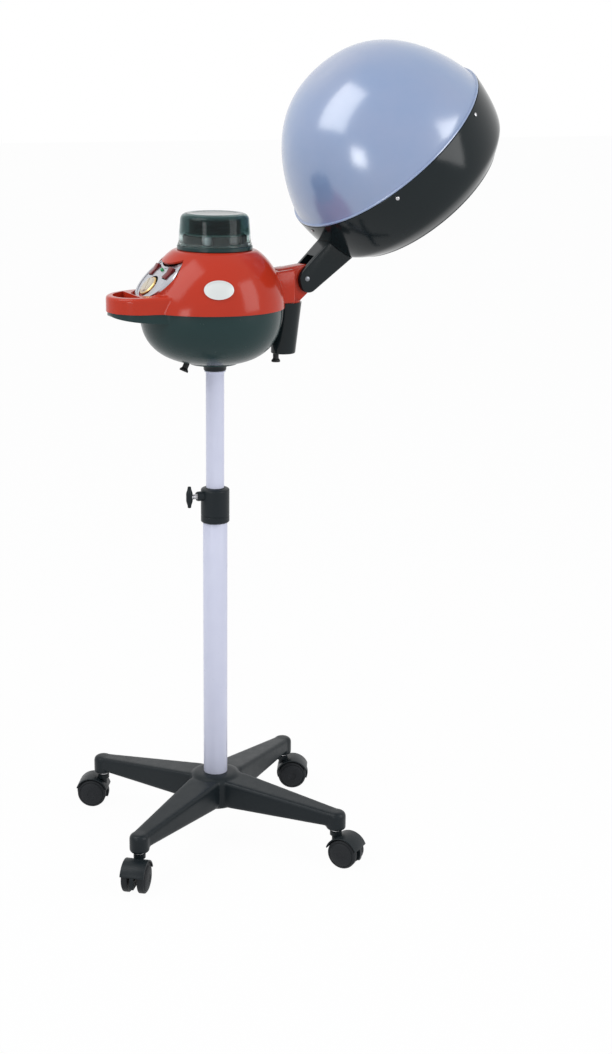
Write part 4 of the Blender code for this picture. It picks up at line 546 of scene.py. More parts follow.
# Lower bowl. The dark green shell under the body, moulded with the underside of the handle in front and a
# flat boss for the power inlet on the far side. It is polished, and it closes against the red cover.
SEAM = 0.861
BOWL_RADIUS = 0.1015
BOWL_DEPTH = 0.086
BOWL_POWER = 2.6
BOWL_FOOT = 0.034
DRAWN_TOP = 0.935
NOSE_MIDDLE = -0.120
NOSE_RADIUS = 0.050
INLET_HEIGHT = 0.832


def drawn_out(piece):
    """Draws a turned shell out on the handle's side, fully at the seam and less towards its top."""
    for vertex in piece.data.vertices:
        share = min(1, max(0, (DRAWN_TOP - vertex.co.z) / (DRAWN_TOP - SEAM)))
        if vertex.co.x < 0:
            vertex.co.x *= 1 + 0.13 * share
    return piece


def bowl_side(grow, count):
    """The bowl's outline from the seam down to the middle of its flat foot, grown by an amount."""
    side = []
    for i in range(count + 1):
        angle = math.pi / 2 * i / count
        radius = (BOWL_RADIUS + grow) * math.cos(angle) ** (2 / BOWL_POWER)
        if radius > BOWL_FOOT:
            side.append((radius, SEAM - (BOWL_DEPTH + grow) * math.sin(angle) ** (2 / BOWL_POWER)))
    return side + [(BOWL_FOOT, SEAM - BOWL_DEPTH - grow), (0, SEAM - BOWL_DEPTH - grow)]


def handle_outline(inset, count=14):
    """The handle seen from above, flaring into the round body."""
    width = NOSE_RADIUS - inset
    root = (-0.060 + inset, 0.075 - inset)
    end = sweep(NOSE_MIDDLE, 0, width, 180, 90, count)
    flare = bend((NOSE_MIDDLE, width), (NOSE_MIDDLE + 0.018, width), (-0.084, 0.066 - inset), root, count)
    half = end + flare[1:]
    return half + [(x, -y) for x, y in half[::-1]][:-1]


def slot_outline(outset, count=36):
    """The hand slot: a segment of a circle with a straight edge towards the body."""
    radius = 0.040 + outset
    angle = math.degrees(math.acos((-0.132 + outset - NOSE_MIDDLE) / radius))
    return sweep(NOSE_MIDDLE, 0, radius, angle, 360 - angle, count)


GREEN_TONES = (0.006, 0.026, 0.027), (0.011, 0.036, 0.036)
green_gloss = moulded_plastic("dark_green_gloss", *GREEN_TONES, 0.24, 500, 0.00025)
bowl_line = bowl_side(0, 36)[::-1] + [(BOWL_RADIUS, SEAM + 0.004), (0, SEAM + 0.004)]
bowl = drawn_out(lathe("bowl_shell", bowl_line, 144))
keel = [(-0.169, SEAM + 0.012), (-0.169, SEAM), (-0.1675, SEAM - 0.004)]
belly = ((-0.1655, SEAM - 0.0065), (-0.159, SEAM - 0.0095), (-0.125, SEAM - 0.013), (-0.075, SEAM - 0.016))
keel += bend(*belly, 10) + [(-0.075, SEAM + 0.012)]
tray = sawn("handle underside", handle_outline(0.002), SEAM - 0.03, SEAM + 0.003)
keel_form = settle(sawn("keel", keel, -0.1, 0.1), turned(90, "X"))
combine(tray, keel_form, "INTERSECT")
rounded(tray, 0.0022, 3, 50)
join(bowl, tray)
join(bowl, rounded(bar("inlet boss", (0.048, 0.0347, 0.028), (0, 0.08735, INLET_HEIGHT)), 0.002, 3))
cut(bowl, bar("seam", (0.6, 0.6, 0.05), (0, 0, SEAM + 0.025)))
cut(bowl, sawn("hand slot", slot_outline(0), 0.80, 0.90))
cut(bowl, rod("neck hole", 0.0182, 0.76, 0.80, 64))
cut(bowl, bar("inlet hole", (0.0286, 0.03, 0.0206), (0, 0.095, INLET_HEIGHT)))
settle(bowl, at(0, 0, 0))
hand_over(bowl, green_gloss, "head", "green_shell", "lower_bowl")


# Upper cover. The glossy orange-red shell: a round bell that runs softly into the handle in front, with
# the raised seat of the control panel on its slope. It is one polished moulding.
BELL_TOP = 0.947
BELL_RADIUS = 0.1055
HANDLE_TOP = 0.884
HANDLE_SLOPE = 0.04
PANEL_PLATE = 0.003
PANEL_SLOPE = 38
PANEL_BULGE = 1.45


def bell_outline(grow, foot):
    """The bell's outline from its flat top down to its foot, grown by an amount."""
    side = bend((0.064, 0.9455), (0.088, 0.929), (BELL_RADIUS, 0.897), (BELL_RADIUS, SEAM), 26)
    line = [(0, BELL_TOP + grow), (0.060, BELL_TOP + grow)]
    line += [(x + grow * 0.8, z + grow * 0.6) for x, z in side]
    return line + [(BELL_RADIUS + grow, foot), (0, foot)]


def dome_of_panel(x, y):
    """How far the panel's softly domed surface lies under its tangent plane."""
    return PANEL_BULGE * (x * x + y * y)


def shield_outline(outset):
    """The panel in its own plane: x up the slope, y across. Horned on top and round below."""
    horn = 0.0020 + outset * 1.2
    corner = (-0.0420, 0.0460 + outset)
    brow = (-0.0085 + outset, 0.028)
    half = bend((-0.0146 + outset, 0), (-0.0140 + outset, 0.014), brow, (horn, 0.0354), 12)
    ear = (-0.0120, 0.046 + outset)
    half += bend((horn, 0.0354 + outset * 0.4), ear, (-0.0260, 0.0500 + outset), corner, 12)
    flank = (-0.0600 - outset * 0.6, 0.0410 + outset * 0.8)
    half += bend(corner, flank, (-0.0730 - outset, 0.0270), (-0.0762 - outset, 0.010), 12)[1:]
    half += [(-0.0768 - outset, 0)]
    return half + [(x, -y) for x, y in half[::-1]][1:-1]


def shield_slab(name, outline, low, high):
    """A layer of the domed panel in an outline, between two heights over its surface."""
    radii = [0.105 * i / 20 for i in range(21)]
    line = [(r, high - dome_of_panel(r, 0)) for r in radii]
    line += [(r, low - dome_of_panel(r, 0)) for r in radii[::-1]]
    return combine(sawn(name, outline, -0.06, 0.06), lathe("layer", line, 96), "INTERSECT")


panel_frame = shifted(-0.068, 0, 0.9335) @ turned(-PANEL_SLOPE, "Y")


def on_panel(x, y):
    """A frame on the panel's surface whose Z axis stands square to it."""
    lean = Euler((-math.atan(2 * PANEL_BULGE * y), math.atan(2 * PANEL_BULGE * x), 0)).to_matrix().to_4x4()
    return panel_frame @ shifted(x, y, -dome_of_panel(x, y)) @ lean


RED_TONES = (0.43, 0.028, 0.012), (0.50, 0.038, 0.015)
red_gloss = moulded_plastic("orange_red_gloss", *RED_TONES, 0.15, 420, 0.0002, 0.22)
cover = drawn_out(lathe("bell_cover", bell_outline(0, SEAM - 0.006), 160))
handle = rounded(sawn("handle", handle_outline(0), SEAM - 0.030, HANDLE_TOP), 0.0090, 7, 60)
for vertex in handle.data.vertices:
    if vertex.co.z > SEAM:
        vertex.co.z += HANDLE_SLOPE * (vertex.co.x - NOSE_MIDDLE + NOSE_RADIUS)
join(cover, handle)
panel_seat = -PANEL_PLATE - 0.0003
plinth = shield_slab("plinth", shield_outline(0.0015), panel_seat - 0.016, panel_seat + 0.003)
join(cover, settle(plinth, panel_frame))
melted(cover, 0.00145, 10)
cut(cover, drawn_out(lathe("inside of the bell", bell_outline(-0.003, SEAM - 0.04), 96)))
cut(cover, settle(shield_slab("panel recess", shield_outline(0.0021), panel_seat, 0.04), panel_frame))
cut(cover, bar("seam", (0.6, 0.6, 0.05), (0, 0, SEAM + 0.0003 - 0.025)))
cut(cover, sawn("hand slot", slot_outline(0), 0.80, 0.95))
cut(cover, rod("boiler neck hole", 0.031, 0.92, 0.96, 96))
settle(cover, at(0, 0, 0))
hand_over(cover, red_gloss, "head", "red_shell", "upper_cover")


# Control panel. A bright plate in the shape of a shield, domed like the cover under it, with openings for
# two rockers and a lamp and a dark well for the dial. It is pressed, plated and set in its recess.
ROCKER_DOWN = 0.0235
ROCKER_SIDE = 0.0275
LAMP_DOWN = 0.0215
DIAL_DOWN = 0.053
silver = bright_metal("plated_panel", (0.42, 0.43, 0.47), (0.60, 0.61, 0.65), 0.20, 0.34, 60)
plate = shield_slab("shield_panel", shield_outline(0), -PANEL_PLATE, 0)
small_shield = [(0.88 * (x + 0.040) - 0.040, 0.88 * y) for x, y in shield_outline(0)]
cut(plate, shield_slab("sunk field", small_shield, -0.0008, 0.01))
settle(plate, panel_frame)
for side in (ROCKER_SIDE, -ROCKER_SIDE):
    cut(plate, settle(bar("rocker hole", (0.0226, 0.0136, 0.03), (0, 0, 0)), on_panel(-ROCKER_DOWN, side)))
cut(plate, settle(rod("lamp hole", 0.0028, -0.015, 0.015, 32), on_panel(-LAMP_DOWN, 0)))
cut(plate, settle(rod("dial well", 0.0195, -0.015, 0.015, 72), on_panel(-DIAL_DOWN, 0)))
settle(plate, at(0, 0, 0))
hand_over(plate, silver, "head", "chrome", "panel_plate")


# Rockers. Two dark red switch keys, moulded with a hollow face. Each rocks on its own axis in the plate;
# both are off, with the upper end proud.
ROCKER_TILT = 7
red_rocker = moulded_plastic("dark_red_rocker", (0.13, 0.008, 0.010), (0.17, 0.012, 0.014), 0.16, 900, 0.0001)
for name, side in (("rocker_left", ROCKER_SIDE), ("rocker_right", -ROCKER_SIDE)):
    top = 0.001 + 0.0025
    line = [(-0.010, top), (-0.010, 0), (-0.007, -0.006), (0.007, -0.006), (0.010, 0), (0.010, top)]
    line += bend((0.010, top), (0.006, top - 0.0002), (0.002, top - 0.0012), (0, top - 0.00123), 6)[1:]
    line += bend((0, top - 0.00123), (-0.002, top - 0.0012), (-0.006, top - 0.0002), (-0.010, top), 6)[1:-1]
    rocker = rounded(settle(sawn(f"{name}_key", line, -0.0062, 0.0062), turned(90, "X")), 0.0004, 3, 30)
    axis = on_panel(-ROCKER_DOWN, side) @ shifted(0, 0, -0.001) @ turned(-ROCKER_TILT, "Y")
    settle(rocker, at(0, 0, 0) @ axis)
    hand_over(rocker, red_rocker, name, "dark_red_plastic", name)


# Lamp. A small green lens between the rockers. It is moulded with a round face and pressed in from the
# front of the plate.
green_lens = moulded_plastic("green_lens", (0.02, 0.30, 0.09), (0.04, 0.42, 0.14), 0.10, 300, 0.0001)
LENS_TOP = 0.0022
lens_line = [(0, -0.010), (0.0025, -0.010), (0.0025, 0.0005)]
lens_line += [(r, min(z, LENS_TOP)) for r, z in sweep(0, 0.0003, 0.0025, 8, 88, 8)[:-1]] + [(0, LENS_TOP)]
lens = settle(lathe("lamp_lens", lens_line, 32), at(0, 0, 0) @ on_panel(-LAMP_DOWN, 0))
hand_over(lens, green_lens, "head", "green_lens", "indicator_lamp")


# Dial. A pale moulded knob with a finger bar and a gold rim, in its dark well. It is pushed onto a steel
# spindle and turns with it.
ivory = moulded_plastic("ivory_knob", (0.52, 0.47, 0.38), (0.62, 0.56, 0.46), 0.22, 800, 0.0001)
gold = bright_metal("gold_rim", (0.62, 0.42, 0.16), (0.78, 0.56, 0.25), 0.18, 0.32, 90)
KNOB_TURN = 35
RIM_INSIDE = 0.0143
dial_low = 0.0003 - PANEL_PLATE
dial_high = dial_low + 0.007
dial_line = [(0, dial_high - 0.002), (0.0033, dial_high - 0.002), (0.0033, dial_low), (0.0160, dial_low)]
rim = [(0.0164, 0.0004), (0.0164, 0.0020), (0.0156, 0.0032)]
rim += [(0.0146, 0.0036), (0.0142, 0.0034), (0.0134, 0.0036)]
dial_line += [(radius, dial_low + rise) for radius, rise in rim]
crown = ((0.0128, dial_low + 0.0042), (0.0118, dial_high - 0.0008), (0.0106, dial_high - 0.0012))
dial_line += bend(*crown, (0, dial_high - 0.0014), 10)
knob = lathe("dial_cap", dial_line, 72)
finger_bar = rounded(bar("finger bar", (0.0250, 0.0052, 0.0042), (0, 0, dial_high - 0.0022)), 0.0012, 4)
join(knob, finger_bar)
knob_frame = at(0, 0, 0) @ on_panel(-DIAL_DOWN, 0)
settle(knob, knob_frame @ turned(KNOB_TURN, "Z"))
coat(knob, ivory, gold)
dial_axis = knob_frame.to_3x3().col[2]
for face in knob.data.polygons:
    offset = face.center - knob_frame.translation
    along = offset.dot(dial_axis)
    if (offset - dial_axis * along).length > RIM_INSIDE:
        face.material_index = 1
hand_over(knob, None, "dial", "pale_plastic", "dial_knob")
coat(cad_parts["dial_spindle"], zinc)


# Circuit board. A plain sheet of green laminate behind the panel, for the rockers, the lamp and the
# dial. It is seen only when the cover is off.
board_green = moulded_plastic("board_green", (0.010, 0.10, 0.03), (0.02, 0.16, 0.05), 0.40, 1200, 0.0001)
coat(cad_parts["control_board"], board_green)


# Oval badge. A thin plated plate with a narrow raised border and a bare field. It follows the bell's
# curve and is glued to it.
badge_metal = bright_metal("badge_plating", (0.62, 0.66, 0.66), (0.78, 0.81, 0.81), 0.24, 0.34, 30)
badge_way = shifted(0, 0, 0.899) @ turned(-19.5, "Z") @ turned(90, "X")


def oval_layer(name, length, width, low, high):
    """An oval layer of the badge, between two distances from the bell's surface."""
    layer = drawn_out(lathe(name, bell_outline(high, SEAM - 0.02), 160))
    angles = [2 * math.pi * i / 72 for i in range(72)]
    oval = sawn("oval", [(length * math.cos(a), width * math.sin(a)) for a in angles], 0.05, 0.16)
    combine(layer, settle(oval, badge_way), "INTERSECT")
    return cut(layer, drawn_out(lathe("inside", bell_outline(low, SEAM - 0.04), 160)))


badge_skin = oval_layer("oval_badge", 0.0218, 0.0133, 0.0004, 0.0020)
cut(badge_skin, oval_layer("badge field", 0.0198, 0.0114, 0.0013, 0.0040))
settle(badge_skin, at(0, 0, 0))
hand_over(badge_skin, badge_metal, "head", "chrome", "badge_plate")


# Boiler. A spun steel vessel on the socket, its heater ring and the pale steam pipe, all inside the
# shells. The solids' own forms are kept.
pipe_white = moulded_plastic("pipe_white", (0.62, 0.62, 0.60), (0.70, 0.70, 0.68), 0.30, 600, 0.0002)
for node, surface in (("boiler_vessel", zinc), ("heating_element", zinc), ("steam_pipe", pipe_white)):
    coat(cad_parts[node], surface)


# Jar seat. The dark ring on top of the cover, with a step that centres the jar. It is moulded in the
# bowl's plastic and lies flat on the cover.
JAR_FLOOR = 0.9533
seat_line = [(0.022, 0.9475), (0.0558, 0.9475), (0.0564, 0.9480), (0.0564, 0.9524), (0.0556, 0.9532)]
seat_line += [(0.0514, JAR_FLOOR), (0.0512, 0.9558), (0.0507, 0.9562), (0.0488, 0.9562), (0.0484, 0.9558)]
seat_line += [(0.0484, JAR_FLOOR), (0.022, JAR_FLOOR), (0.022, 0.9475)]
jar_seat = settle(lathe("jar_seat", seat_line, 128), at(0, 0, 0))
hand_over(jar_seat, green_gloss, "head", "black_plastic", "tank_seat")


# Boiler head. Three pale posts stand on the seat, in the notches of a black drum, and carry a clear plate
# with the grooved black cap on it. All are moulded, and show through the jar.
POST_CIRCLE = 0.0305
post_white = moulded_plastic("post_white", (0.82, 0.82, 0.90), (0.88, 0.88, 0.94), 0.22, 500, 0.0001)
notches = []
for number, (post_turn, notch_turn) in enumerate(((105, 105), (225, 247), (345, 247)), start=1):
    angle = math.radians(post_turn)
    post = rod(f"jar_post_{number}", 0.0075, 0.0001, 0.0149, 40, 0.0005)
    settle(post, at(POST_CIRCLE * math.cos(angle), POST_CIRCLE * math.sin(angle), JAR_FLOOR + 0.0003))
    hand_over(post, post_white, "head", "pale_plastic", f"tank_post_{number}")
    notch = bar("notch", (0.060, 0.0166, 0.03), (0.0225, 0, 0.0075))
    post_way = turned(post_turn, "Z") @ shifted(POST_CIRCLE, 0, 0)
    notches.append(settle(notch, post_way @ turned(notch_turn - post_turn, "Z")))
drum = rod("valve_drum", 0.0478, 0.0002, 0.0148, 96, 0.0005)
for notch in notches:
    cut(drum, notch)
settle(drum, at(0, 0, JAR_FLOOR + 0.0003))
DRUM_TONES = (0.004, 0.005, 0.006), (0.007, 0.008, 0.009)
drum_black = moulded_plastic("drum_black", *DRUM_TONES, 0.5, 900, 0.0002, 0.08)
hand_over(drum, drum_black, "head", "black_plastic")


def clear_plastic(name, colour, roughness, share):
    """Clear plastic, faintly cloudy in tone and gloss."""
    surface = moulded_plastic(name, colour, tuple(c * 1.15 for c in colour), roughness, 300, 0.0001)
    shader = surface.node_tree.nodes["Principled BSDF"]
    shader.inputs["Transmission Weight"].default_value = share
    shader.inputs["IOR"].default_value = 1.22
    return surface


clear_plate = clear_plastic("clear_plate", (0.60, 0.72, 0.68), 0.10, 0.6)
jar_plate = settle(rod("jar_plate", 0.0439, 0.9688, 0.9716, 96, 0.0005), at(0, 0, 0))
hand_over(jar_plate, clear_plate, "head", "steel", "boiler_plate")
CAP_TONES = (0.0045, 0.0085, 0.0105), (0.008, 0.014, 0.016)
black_gloss = moulded_plastic("green_black_gloss", *CAP_TONES, 0.12, 450, 0.0002, 0.24)
cap_line = [(0, 0.9722), (0.0386, 0.9722), (0.0389, 0.9725)]
for number in range(3):
    groove = 0.9765 + 0.0042 * number
    for radius, rise in ((0.0389, 0), (0.0384, 0.0005), (0.0384, 0.0009), (0.0389, 0.0014)):
        cap_line.append((radius, groove + rise))
cap_line += sweep(0.0359, 0.9890, 0.0030, 0, 88, 8) + [(0.030, 0.9921), (0, 0.9921)]
cap = settle(lathe("jar_inner_cap", cap_line, 128), at(0, 0, 0))
hand_over(cap, black_gloss, "head", "black_gloss", "boiler_cap")


# Water jar. Smoked green clear plastic, blow-moulded with a soft shoulder and a small foot, and clearer in
# a low band over the foot. It stands on the seat and lifts off.
JAR_BOTTOM = 0.9536
smoke = clear_plastic("smoked_jar", (0.14, 0.22, 0.22), 0.04, 0.97)
smoke_tree = smoke.node_tree
smoke_tones = smoke_tree.nodes["Mix"]
smoke_height = smoke_tree.nodes.new("ShaderNodeSeparateXYZ")
jar_foot = pole.z + JAR_BOTTOM
smoke_band = fitted(smoke_tree, "MapRange", {"From Min": jar_foot + 0.014, "From Max": jar_foot + 0.018})
smoke_shade = smoke_tree.nodes.new("ShaderNodeMix")
smoke_shade.data_type = "RGBA"
smoke_shade.inputs["A"].default_value = (0.68, 0.77, 0.76, 1)
wire(smoke_tree.nodes["Texture Coordinate"], "Object", smoke_height, 0)
wire(smoke_height, "Z", smoke_band, "Value")
wire(smoke_band, "Result", smoke_shade, "Factor")
wire(smoke_tones, "Result", smoke_shade, "B")
wire(smoke_shade, "Result", smoke_tree.nodes["Principled BSDF"], "Base Color")
jar_line = [(0.0519, 0.0001), (0.0548, 0.0001), (0.0552, 0.0005), (0.0552, 0.0028), (0.0545, 0.0038)]
jar_line += [(0.0539, 0.0046)]
jar_line += bend((0.0539, 0.0046), (0.0532, 0.0180), (0.0522, 0.0280), (0.0515, 0.0370), 8)[1:]
jar_line += sweep(0.0415, 0.0369, 0.0100, 0, 90, 16)[1:]
jar_line += [(0.036, 0.0470), (0.034, 0.0465), (0.030, 0.0463), (0, 0.0463)]
inner_line = [(0, 0.0443), (0.036, 0.0445)] + sweep(0.0415, 0.0367, 0.0078, 88, 0, 12)
inner_line += bend((0.0493, 0.0350), (0.0502, 0.0240), (0.0510, 0.0150), (0.0519, 0.0046), 8)[1:]
inner_line += [(0.0519, 0.0001)]
jar = settle(lathe("water_jar", jar_line + inner_line, 144), at(0, 0, JAR_BOTTOM))
hand_over(jar, smoke, "tank_cover", "smoked_clear", "tank_cover")


# Power inlet. A black moulded inlet in the boss on the far side of the bowl: flange, recess and three
# steel pins. It is pushed in from outside, up to its flange.
inlet_black = moulded_plastic("inlet_black", (0.012, 0.012, 0.013), (0.02, 0.02, 0.021), 0.40, 1500, 0.0002)
inlet = rounded(bar("appliance_inlet", (0.0478, 0.0029, 0.0238), (0, 0.10645, INLET_HEIGHT)), 0.0009, 3)
join(inlet, bar("inlet body", (0.028, 0.0244, 0.020), (0, 0.0929, INLET_HEIGHT)))
mouth = [(-0.012, -0.008), (0.012, -0.008), (0.012, 0.004), (0.008, 0.008), (-0.008, 0.008), (-0.012, 0.004)]
cut(inlet, settle(sawn("recess", mouth, -0.016, 0.010), shifted(0, 0.108, INLET_HEIGHT) @ turned(-90, "X")))
settle(inlet, at(0, 0, 0))
hand_over(inlet, inlet_black, "head", "black_plastic", "power_inlet")
for number, (across, height) in enumerate(((-0.007, 0.830), (0, 0.834), (0.007, 0.830)), start=1):
    pin = rounded(bar(f"inlet_pin_{number}", (0.002, 0.0135, 0.004), (across, 0.0985, height)), 0.0004, 2)
    settle(pin, at(0, 0, 0))
    hand_over(pin, zinc, "head", "steel")


# Drain plugs. Soft black flared plugs, one under the boiler and one under the drip cup. They are pushed
# in, and pulled out by their flare.
DRAIN_OUT = 0.046
DRAIN_LEAN = 25
plug_black = moulded_plastic("plug_black", (0.010, 0.011, 0.012), (0.018, 0.019, 0.020), 0.45, 1600, 0.0002)
plug_line = [(0, -0.0130), (0.0062, -0.0130)] + sweep(0.0062, -0.0124, 0.0006, -80, 0, 4)
plug_line += bend((0.0068, -0.0108), (0.0062, -0.0090), (0.0046, -0.0085), (0.0045, -0.0068), 6)
drain = lathe("bowl_drain_plug", plug_line + [(0.0045, 0.004), (0, 0.004)], 40)
drain_way = turned(180, "Z") @ shifted(DRAIN_OUT, 0, SEAM - BOWL_DEPTH * 0.97) @ turned(-DRAIN_LEAN, "Y")
settle(drain, at(0, 0, 0) @ drain_way)
hand_over(drain, plug_black, "head", "black_gloss", "drain_plug")
CUP_X = 0.1195
CUP_TOP = 0.8627
CUP_DEPTH = 0.079
CUP_LEAN = 0.0055
CUP_FOOT = 0.019
cup_plug = lathe("cup_drain_plug", plug_line + [(0.0045, -0.0002), (0, -0.0002)], 40)
settle(cup_plug, at(CUP_X + 0.0068 - CUP_LEAN - CUP_FOOT, 0, CUP_TOP - CUP_DEPTH - 0.0003))
hand_over(cup_plug, plug_black, "cup", "black_gloss", "cup_plug")


# Drip cup. A glossy black moulded cup under the hinge, tapered, and flattened where it passes the bowl. It
# is pushed onto the bracket's plug and pulls off downwards.
CUP_GAP = 0.0055


def cup_form(name, inset, low, high):
    """The cup's leaning taper between two heights under its rim, cleared from the bowl."""
    def radius(height):
        return CUP_FOOT + 0.004 * (CUP_DEPTH + height) / CUP_DEPTH - inset

    edge = 0.0016 if inset == 0 else 0.0004
    line = [(0, low), (radius(low) - edge, low)] + sweep(radius(low) - edge, low + edge, edge, -80, 0, 5)
    line += [(radius(high - 0.006), high - 0.006), (radius(high), high), (0, high)]
    form = lathe(name, line, 96)
    for vertex in form.data.vertices:
        vertex.co.x += CUP_LEAN * vertex.co.z / CUP_DEPTH
    settle(form, shifted(CUP_X, 0, CUP_TOP))
    beside = bowl_side(CUP_GAP + inset, 24)
    return cut(form, lathe("bowl side", [(0, 0.883), (beside[0][0], 0.883)] + beside, 96))


cup = cup_form("drip_cup", 0, -CUP_DEPTH, -0.0001)
cut(cup, cup_form("cup hollow", 0.002, -0.077, 0.01))
settle(cup, at(0, 0, 0))
hand_over(cup, black_gloss, "cup", "black_gloss", "condensate_cup")


# Hinge bracket. The red moulded lug fixed to the bell's side, with a narrower tongue for the hinge pin and
# a short plug under it that the drip cup is pushed onto.
HINGE_X = 0.145
HINGE_Z = 0.8985
TONGUE_HALF = 0.0115
PIN_HOLE = 0.0043
side_view = turned(90, "X")
root_line = [(0.085, 0.863), (0.1225, 0.863), (0.1225, 0.9145), (0.075, 0.9095)]
bracket = rounded(settle(sawn("hinge_lug", root_line, -0.026, 0.026), side_view), 0.0042, 5)
tongue_line = [(0.100, 0.9135)] + sweep(HINGE_X, HINGE_Z, 0.0205, 95, -55, 20)
tongue_line += [(HINGE_X - 0.010, 0.863), (0.100, 0.863)]
tongue = settle(sawn("tongue", tongue_line, -TONGUE_HALF, TONGUE_HALF), side_view)
join(bracket, rounded(tongue, 0.0012, 3, 60))
join(bracket, cup_form("spigot", 0.0023, -0.008, 0.003))
cut(bracket, drawn_out(lathe("bell gap", bell_outline(0.0003, SEAM - 0.01), 160)))
cut(bracket, settle(rod("pin hole", PIN_HOLE, -0.05, 0.05, 40), shifted(HINGE_X, 0, HINGE_Z) @ side_view))
settle(bracket, at(0, 0, 0))
hand_over(bracket, red_gloss, "head", "red_shell", "hinge_bracket")


# Hood arm. A glossy black fork, moulded: two cheeks beside the tongue, run together into a beam that meets
# the ring. A blued steel pin with chamfered ends goes through cheeks and tongue.
HOOD_REACH = 0.2301
HOOD_RISE = 0.0642
HOOD_TILT = 39
HOOD_LEAN = 4
RING_TOP = 0.1735
RING_HEIGHT = 0.0965
hinge_frame = at(HINGE_X, 0, HINGE_Z) @ turned(-HOOD_TILT, "Y")
hood_frame = hinge_frame @ shifted(HOOD_REACH, 0, HOOD_RISE) @ turned(-HOOD_LEAN, "Y")
heel = sweep(-0.0013, -0.0077, 0.015, 150, 267, 22)
arm_line = bend((0.012, 0.0149), (-0.004, 0.0146), (-0.0125, 0.0085), heel[0], 8)[:-1] + heel
arm_line += [(0.0941, -0.0270), (0.0941, 0.0232)]
cheek = TONGUE_HALF + 0.008 + 0.0003
arm = rounded(settle(sawn("hood_fork", arm_line, -cheek, cheek), side_view), 0.0030, 5, 55)
gap_line = [(-0.05, -0.06), (0.032, -0.06), (0.032, 0.06), (-0.05, 0.06)]
gap = TONGUE_HALF + 0.0003
cut(arm, settle(sawn("fork gap", gap_line, -gap, gap), side_view))
cut(arm, settle(rod("arm hole", PIN_HOLE, -0.05, 0.05, 40), side_view))
settle(arm, hinge_frame)
ring_wall = bend((RING_TOP, 0), (RING_TOP, -0.030), (0.1682, -0.0660), (0.1614, -0.0760), 16)
ring_lip = bend((0.1614, -0.0760), (0.1553, -0.0843), (0.1466, -0.0910), (0.140, -RING_HEIGHT), 8)
ring_side = ring_wall + ring_lip[1:]
outside_line = [(0, 0.01), (RING_TOP + 0.0003, 0.01)] + [(r + 0.0003, z) for r, z in ring_side]
outside_line += [(0.140, -0.12), (0, -0.12)]
cut(arm, settle(lathe("ring outside", outside_line, 144), hood_frame))
hand_over(arm, black_gloss, "hood", "black_gloss", "hood_arm")
pin_line = [(0, -0.0203), (0.0030, -0.0203), (0.0039, -0.0197), (0.0039, 0.0197), (0.0030, 0.0203)]
pin_line += [(0, 0.0203)]
hinge_pin = settle(lathe("fork_pin", pin_line, 40), hinge_frame @ side_view)
pin_steel = bright_metal("blued_pin", (0.16, 0.17, 0.19), (0.24, 0.25, 0.27), 0.30, 0.45, 300)
hand_over(hinge_pin, pin_steel, "hood", "steel", "hinge_pin")


# Hood ring. The glossy green-black ring round the mouth: a tall thin wall with a square upper edge that
# turns in over a soft shoulder to a rolled lip. It is one moulding, and the dome is screwed to its wall.
ring_line = [(0.1706, -0.0002), (0.1730, -0.0002), (0.1734, -0.0006)] + ring_side[1:]
ring_line += [(0.1392, -0.0980), (0.1375, -0.0984), (0.1352, -0.0978), (0.1342, -0.0962), (0.1346, -0.0944)]
ring_line += [(0.1368, -0.0934), (0.1448, -0.0888), (0.1530, -0.0836), (0.1590, -0.0755), (0.1640, -0.0640)]
ring_line += [(0.1676, -0.0480), (0.1694, -0.0300), (0.1703, -0.0140), (0.1706, -0.0002)]
ring = settle(lathe("hood_collar", ring_line, 192), hood_frame)
hand_over(ring, black_gloss, "hood", "black_gloss", "hood_ring")


# Dome. One blown shell of frosted acrylic, narrower towards its crown, with a thin flange on the ring's
# edge and a skirt inside it. Its white depth is tinted blue, under a clear polished skin.
FROST_TONES = (0.12, 0.24, 0.46), (0.29, 0.33, 0.49)
frosted = moulded_plastic("frosted_acrylic", *FROST_TONES, 0.40, 900, 0.0003, patches=7)
frosted_shader = frosted.node_tree.nodes["Principled BSDF"]
frosted_shader.inputs["Coat Weight"].default_value = 1.0
frosted_shader.inputs["Coat IOR"].default_value = 1.95
frosted_shader.inputs["Coat Roughness"].default_value = 0.19
DOME_RADIUS = 0.1698
DOME_TALL = 0.1533
DOME_FOOT = 0.0003
DOME_CONE = 1.31
DOME_CROWN = 2.61


def dome_side(inset, count):
    """The dome's outline from beside its crown down towards its foot, moved inward by the inset."""
    side = []
    for i in range(1, count):
        height = math.cos(math.pi / 2 * i / count)
        across = (1 - height**DOME_CONE) ** (1 / DOME_CROWN)
        side.append(((DOME_RADIUS - inset) * across, DOME_FOOT + (DOME_TALL - inset) * height))
    return side


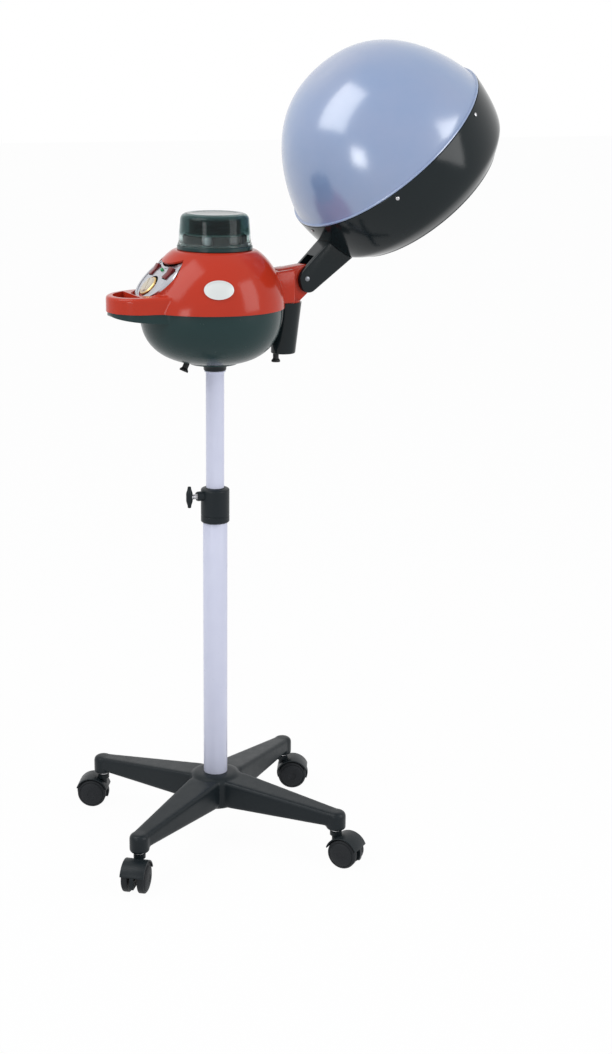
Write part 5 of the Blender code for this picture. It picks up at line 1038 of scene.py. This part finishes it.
dome_line = [(0.1668, 0.0006), (0.1668, -0.0134), (0.1672, -0.0138), (0.1693, -0.0138), (0.1697, -0.0134)]
dome_line += [(0.1697, 0.0004), (0.1724, 0.0004), (0.1731, 0.0010), (0.1731, 0.0025), (0.1724, 0.0032)]
dome_line += [(0.1705, 0.0033)] + [(r, z) for r, z in dome_side(0, 64)[::-1] if z > 0.0050]
dome_line += [(0, DOME_FOOT + DOME_TALL), (0, DOME_TALL - 0.0027)]
dome_line += [(r, z) for r, z in dome_side(0.003, 48) if z > 0.003] + [(0.1668, 0.0006)]
dome = settle(lathe("frosted_dome", dome_line, 192), hood_frame)
hand_over(dome, frosted, "hood", "frosted_dome", "hood_dome")


# Dome screws. Six small round-headed screws of zinc-plated steel, with a cross in the head. They go
# through the ring's wall into the dome's skirt.
SCREW_DROP = 0.0085
for number in range(6):
    line = [(0, -0.0078), (0.0015, -0.0078), (0.0015, 0.0003), (0.0026, 0.0003), (0.0028, 0.0006)]
    line += bend((0.0028, 0.0009), (0.0025, 0.0014), (0.0015, 0.0017), (0, 0.0017), 6)
    screw = lathe(f"dome_fixing_{number + 1}", line, 24)
    for turn in (0, 90):
        cut(screw, settle(bar("cross", (0.0026, 0.0005, 0.0014), (0, 0, 0.0018)), turned(turn, "Z")))
    way = turned(60 * number, "Z") @ shifted(RING_TOP, 0, -SCREW_DROP)
    settle(screw, hood_frame @ way @ turned(90, "Y"))
    hand_over(screw, zinc, "hood", "steel", f"dome_screw_{number + 1}")


# Steam outlet. A short black moulded nozzle inside the ring, where the arm meets it. Its wide foot
# follows the wall that it is fixed to.
outlet_line = [(0.010, -0.183), (0.018, -0.183), (0.018, -0.1545), (0.0174, -0.1535)]
outlet_line += bend((0.0150, -0.1532), (0.0126, -0.1526), (0.012, -0.1512), (0.012, -0.1490), 5)
outlet_line += [(0.012, -0.1243), (0.0116, -0.1237), (0.0104, -0.1237), (0.010, -0.1241), (0.010, -0.183)]
outlet = settle(lathe("steam_outlet", outlet_line, 64), shifted(0, 0, -RING_HEIGHT / 2) @ turned(90, "Y"))
inner_wall = [(0, 0), (0.1690, -0.0005)] + [(r - 0.0037, z) for r, z in ring_side[3:]] + [(0, -RING_HEIGHT)]
combine(outlet, lathe("inner wall", inner_wall, 144), "INTERSECT")
settle(outlet, hood_frame)
hand_over(outlet, black_nylon, "hood", "black_plastic", "steam_nozzle")
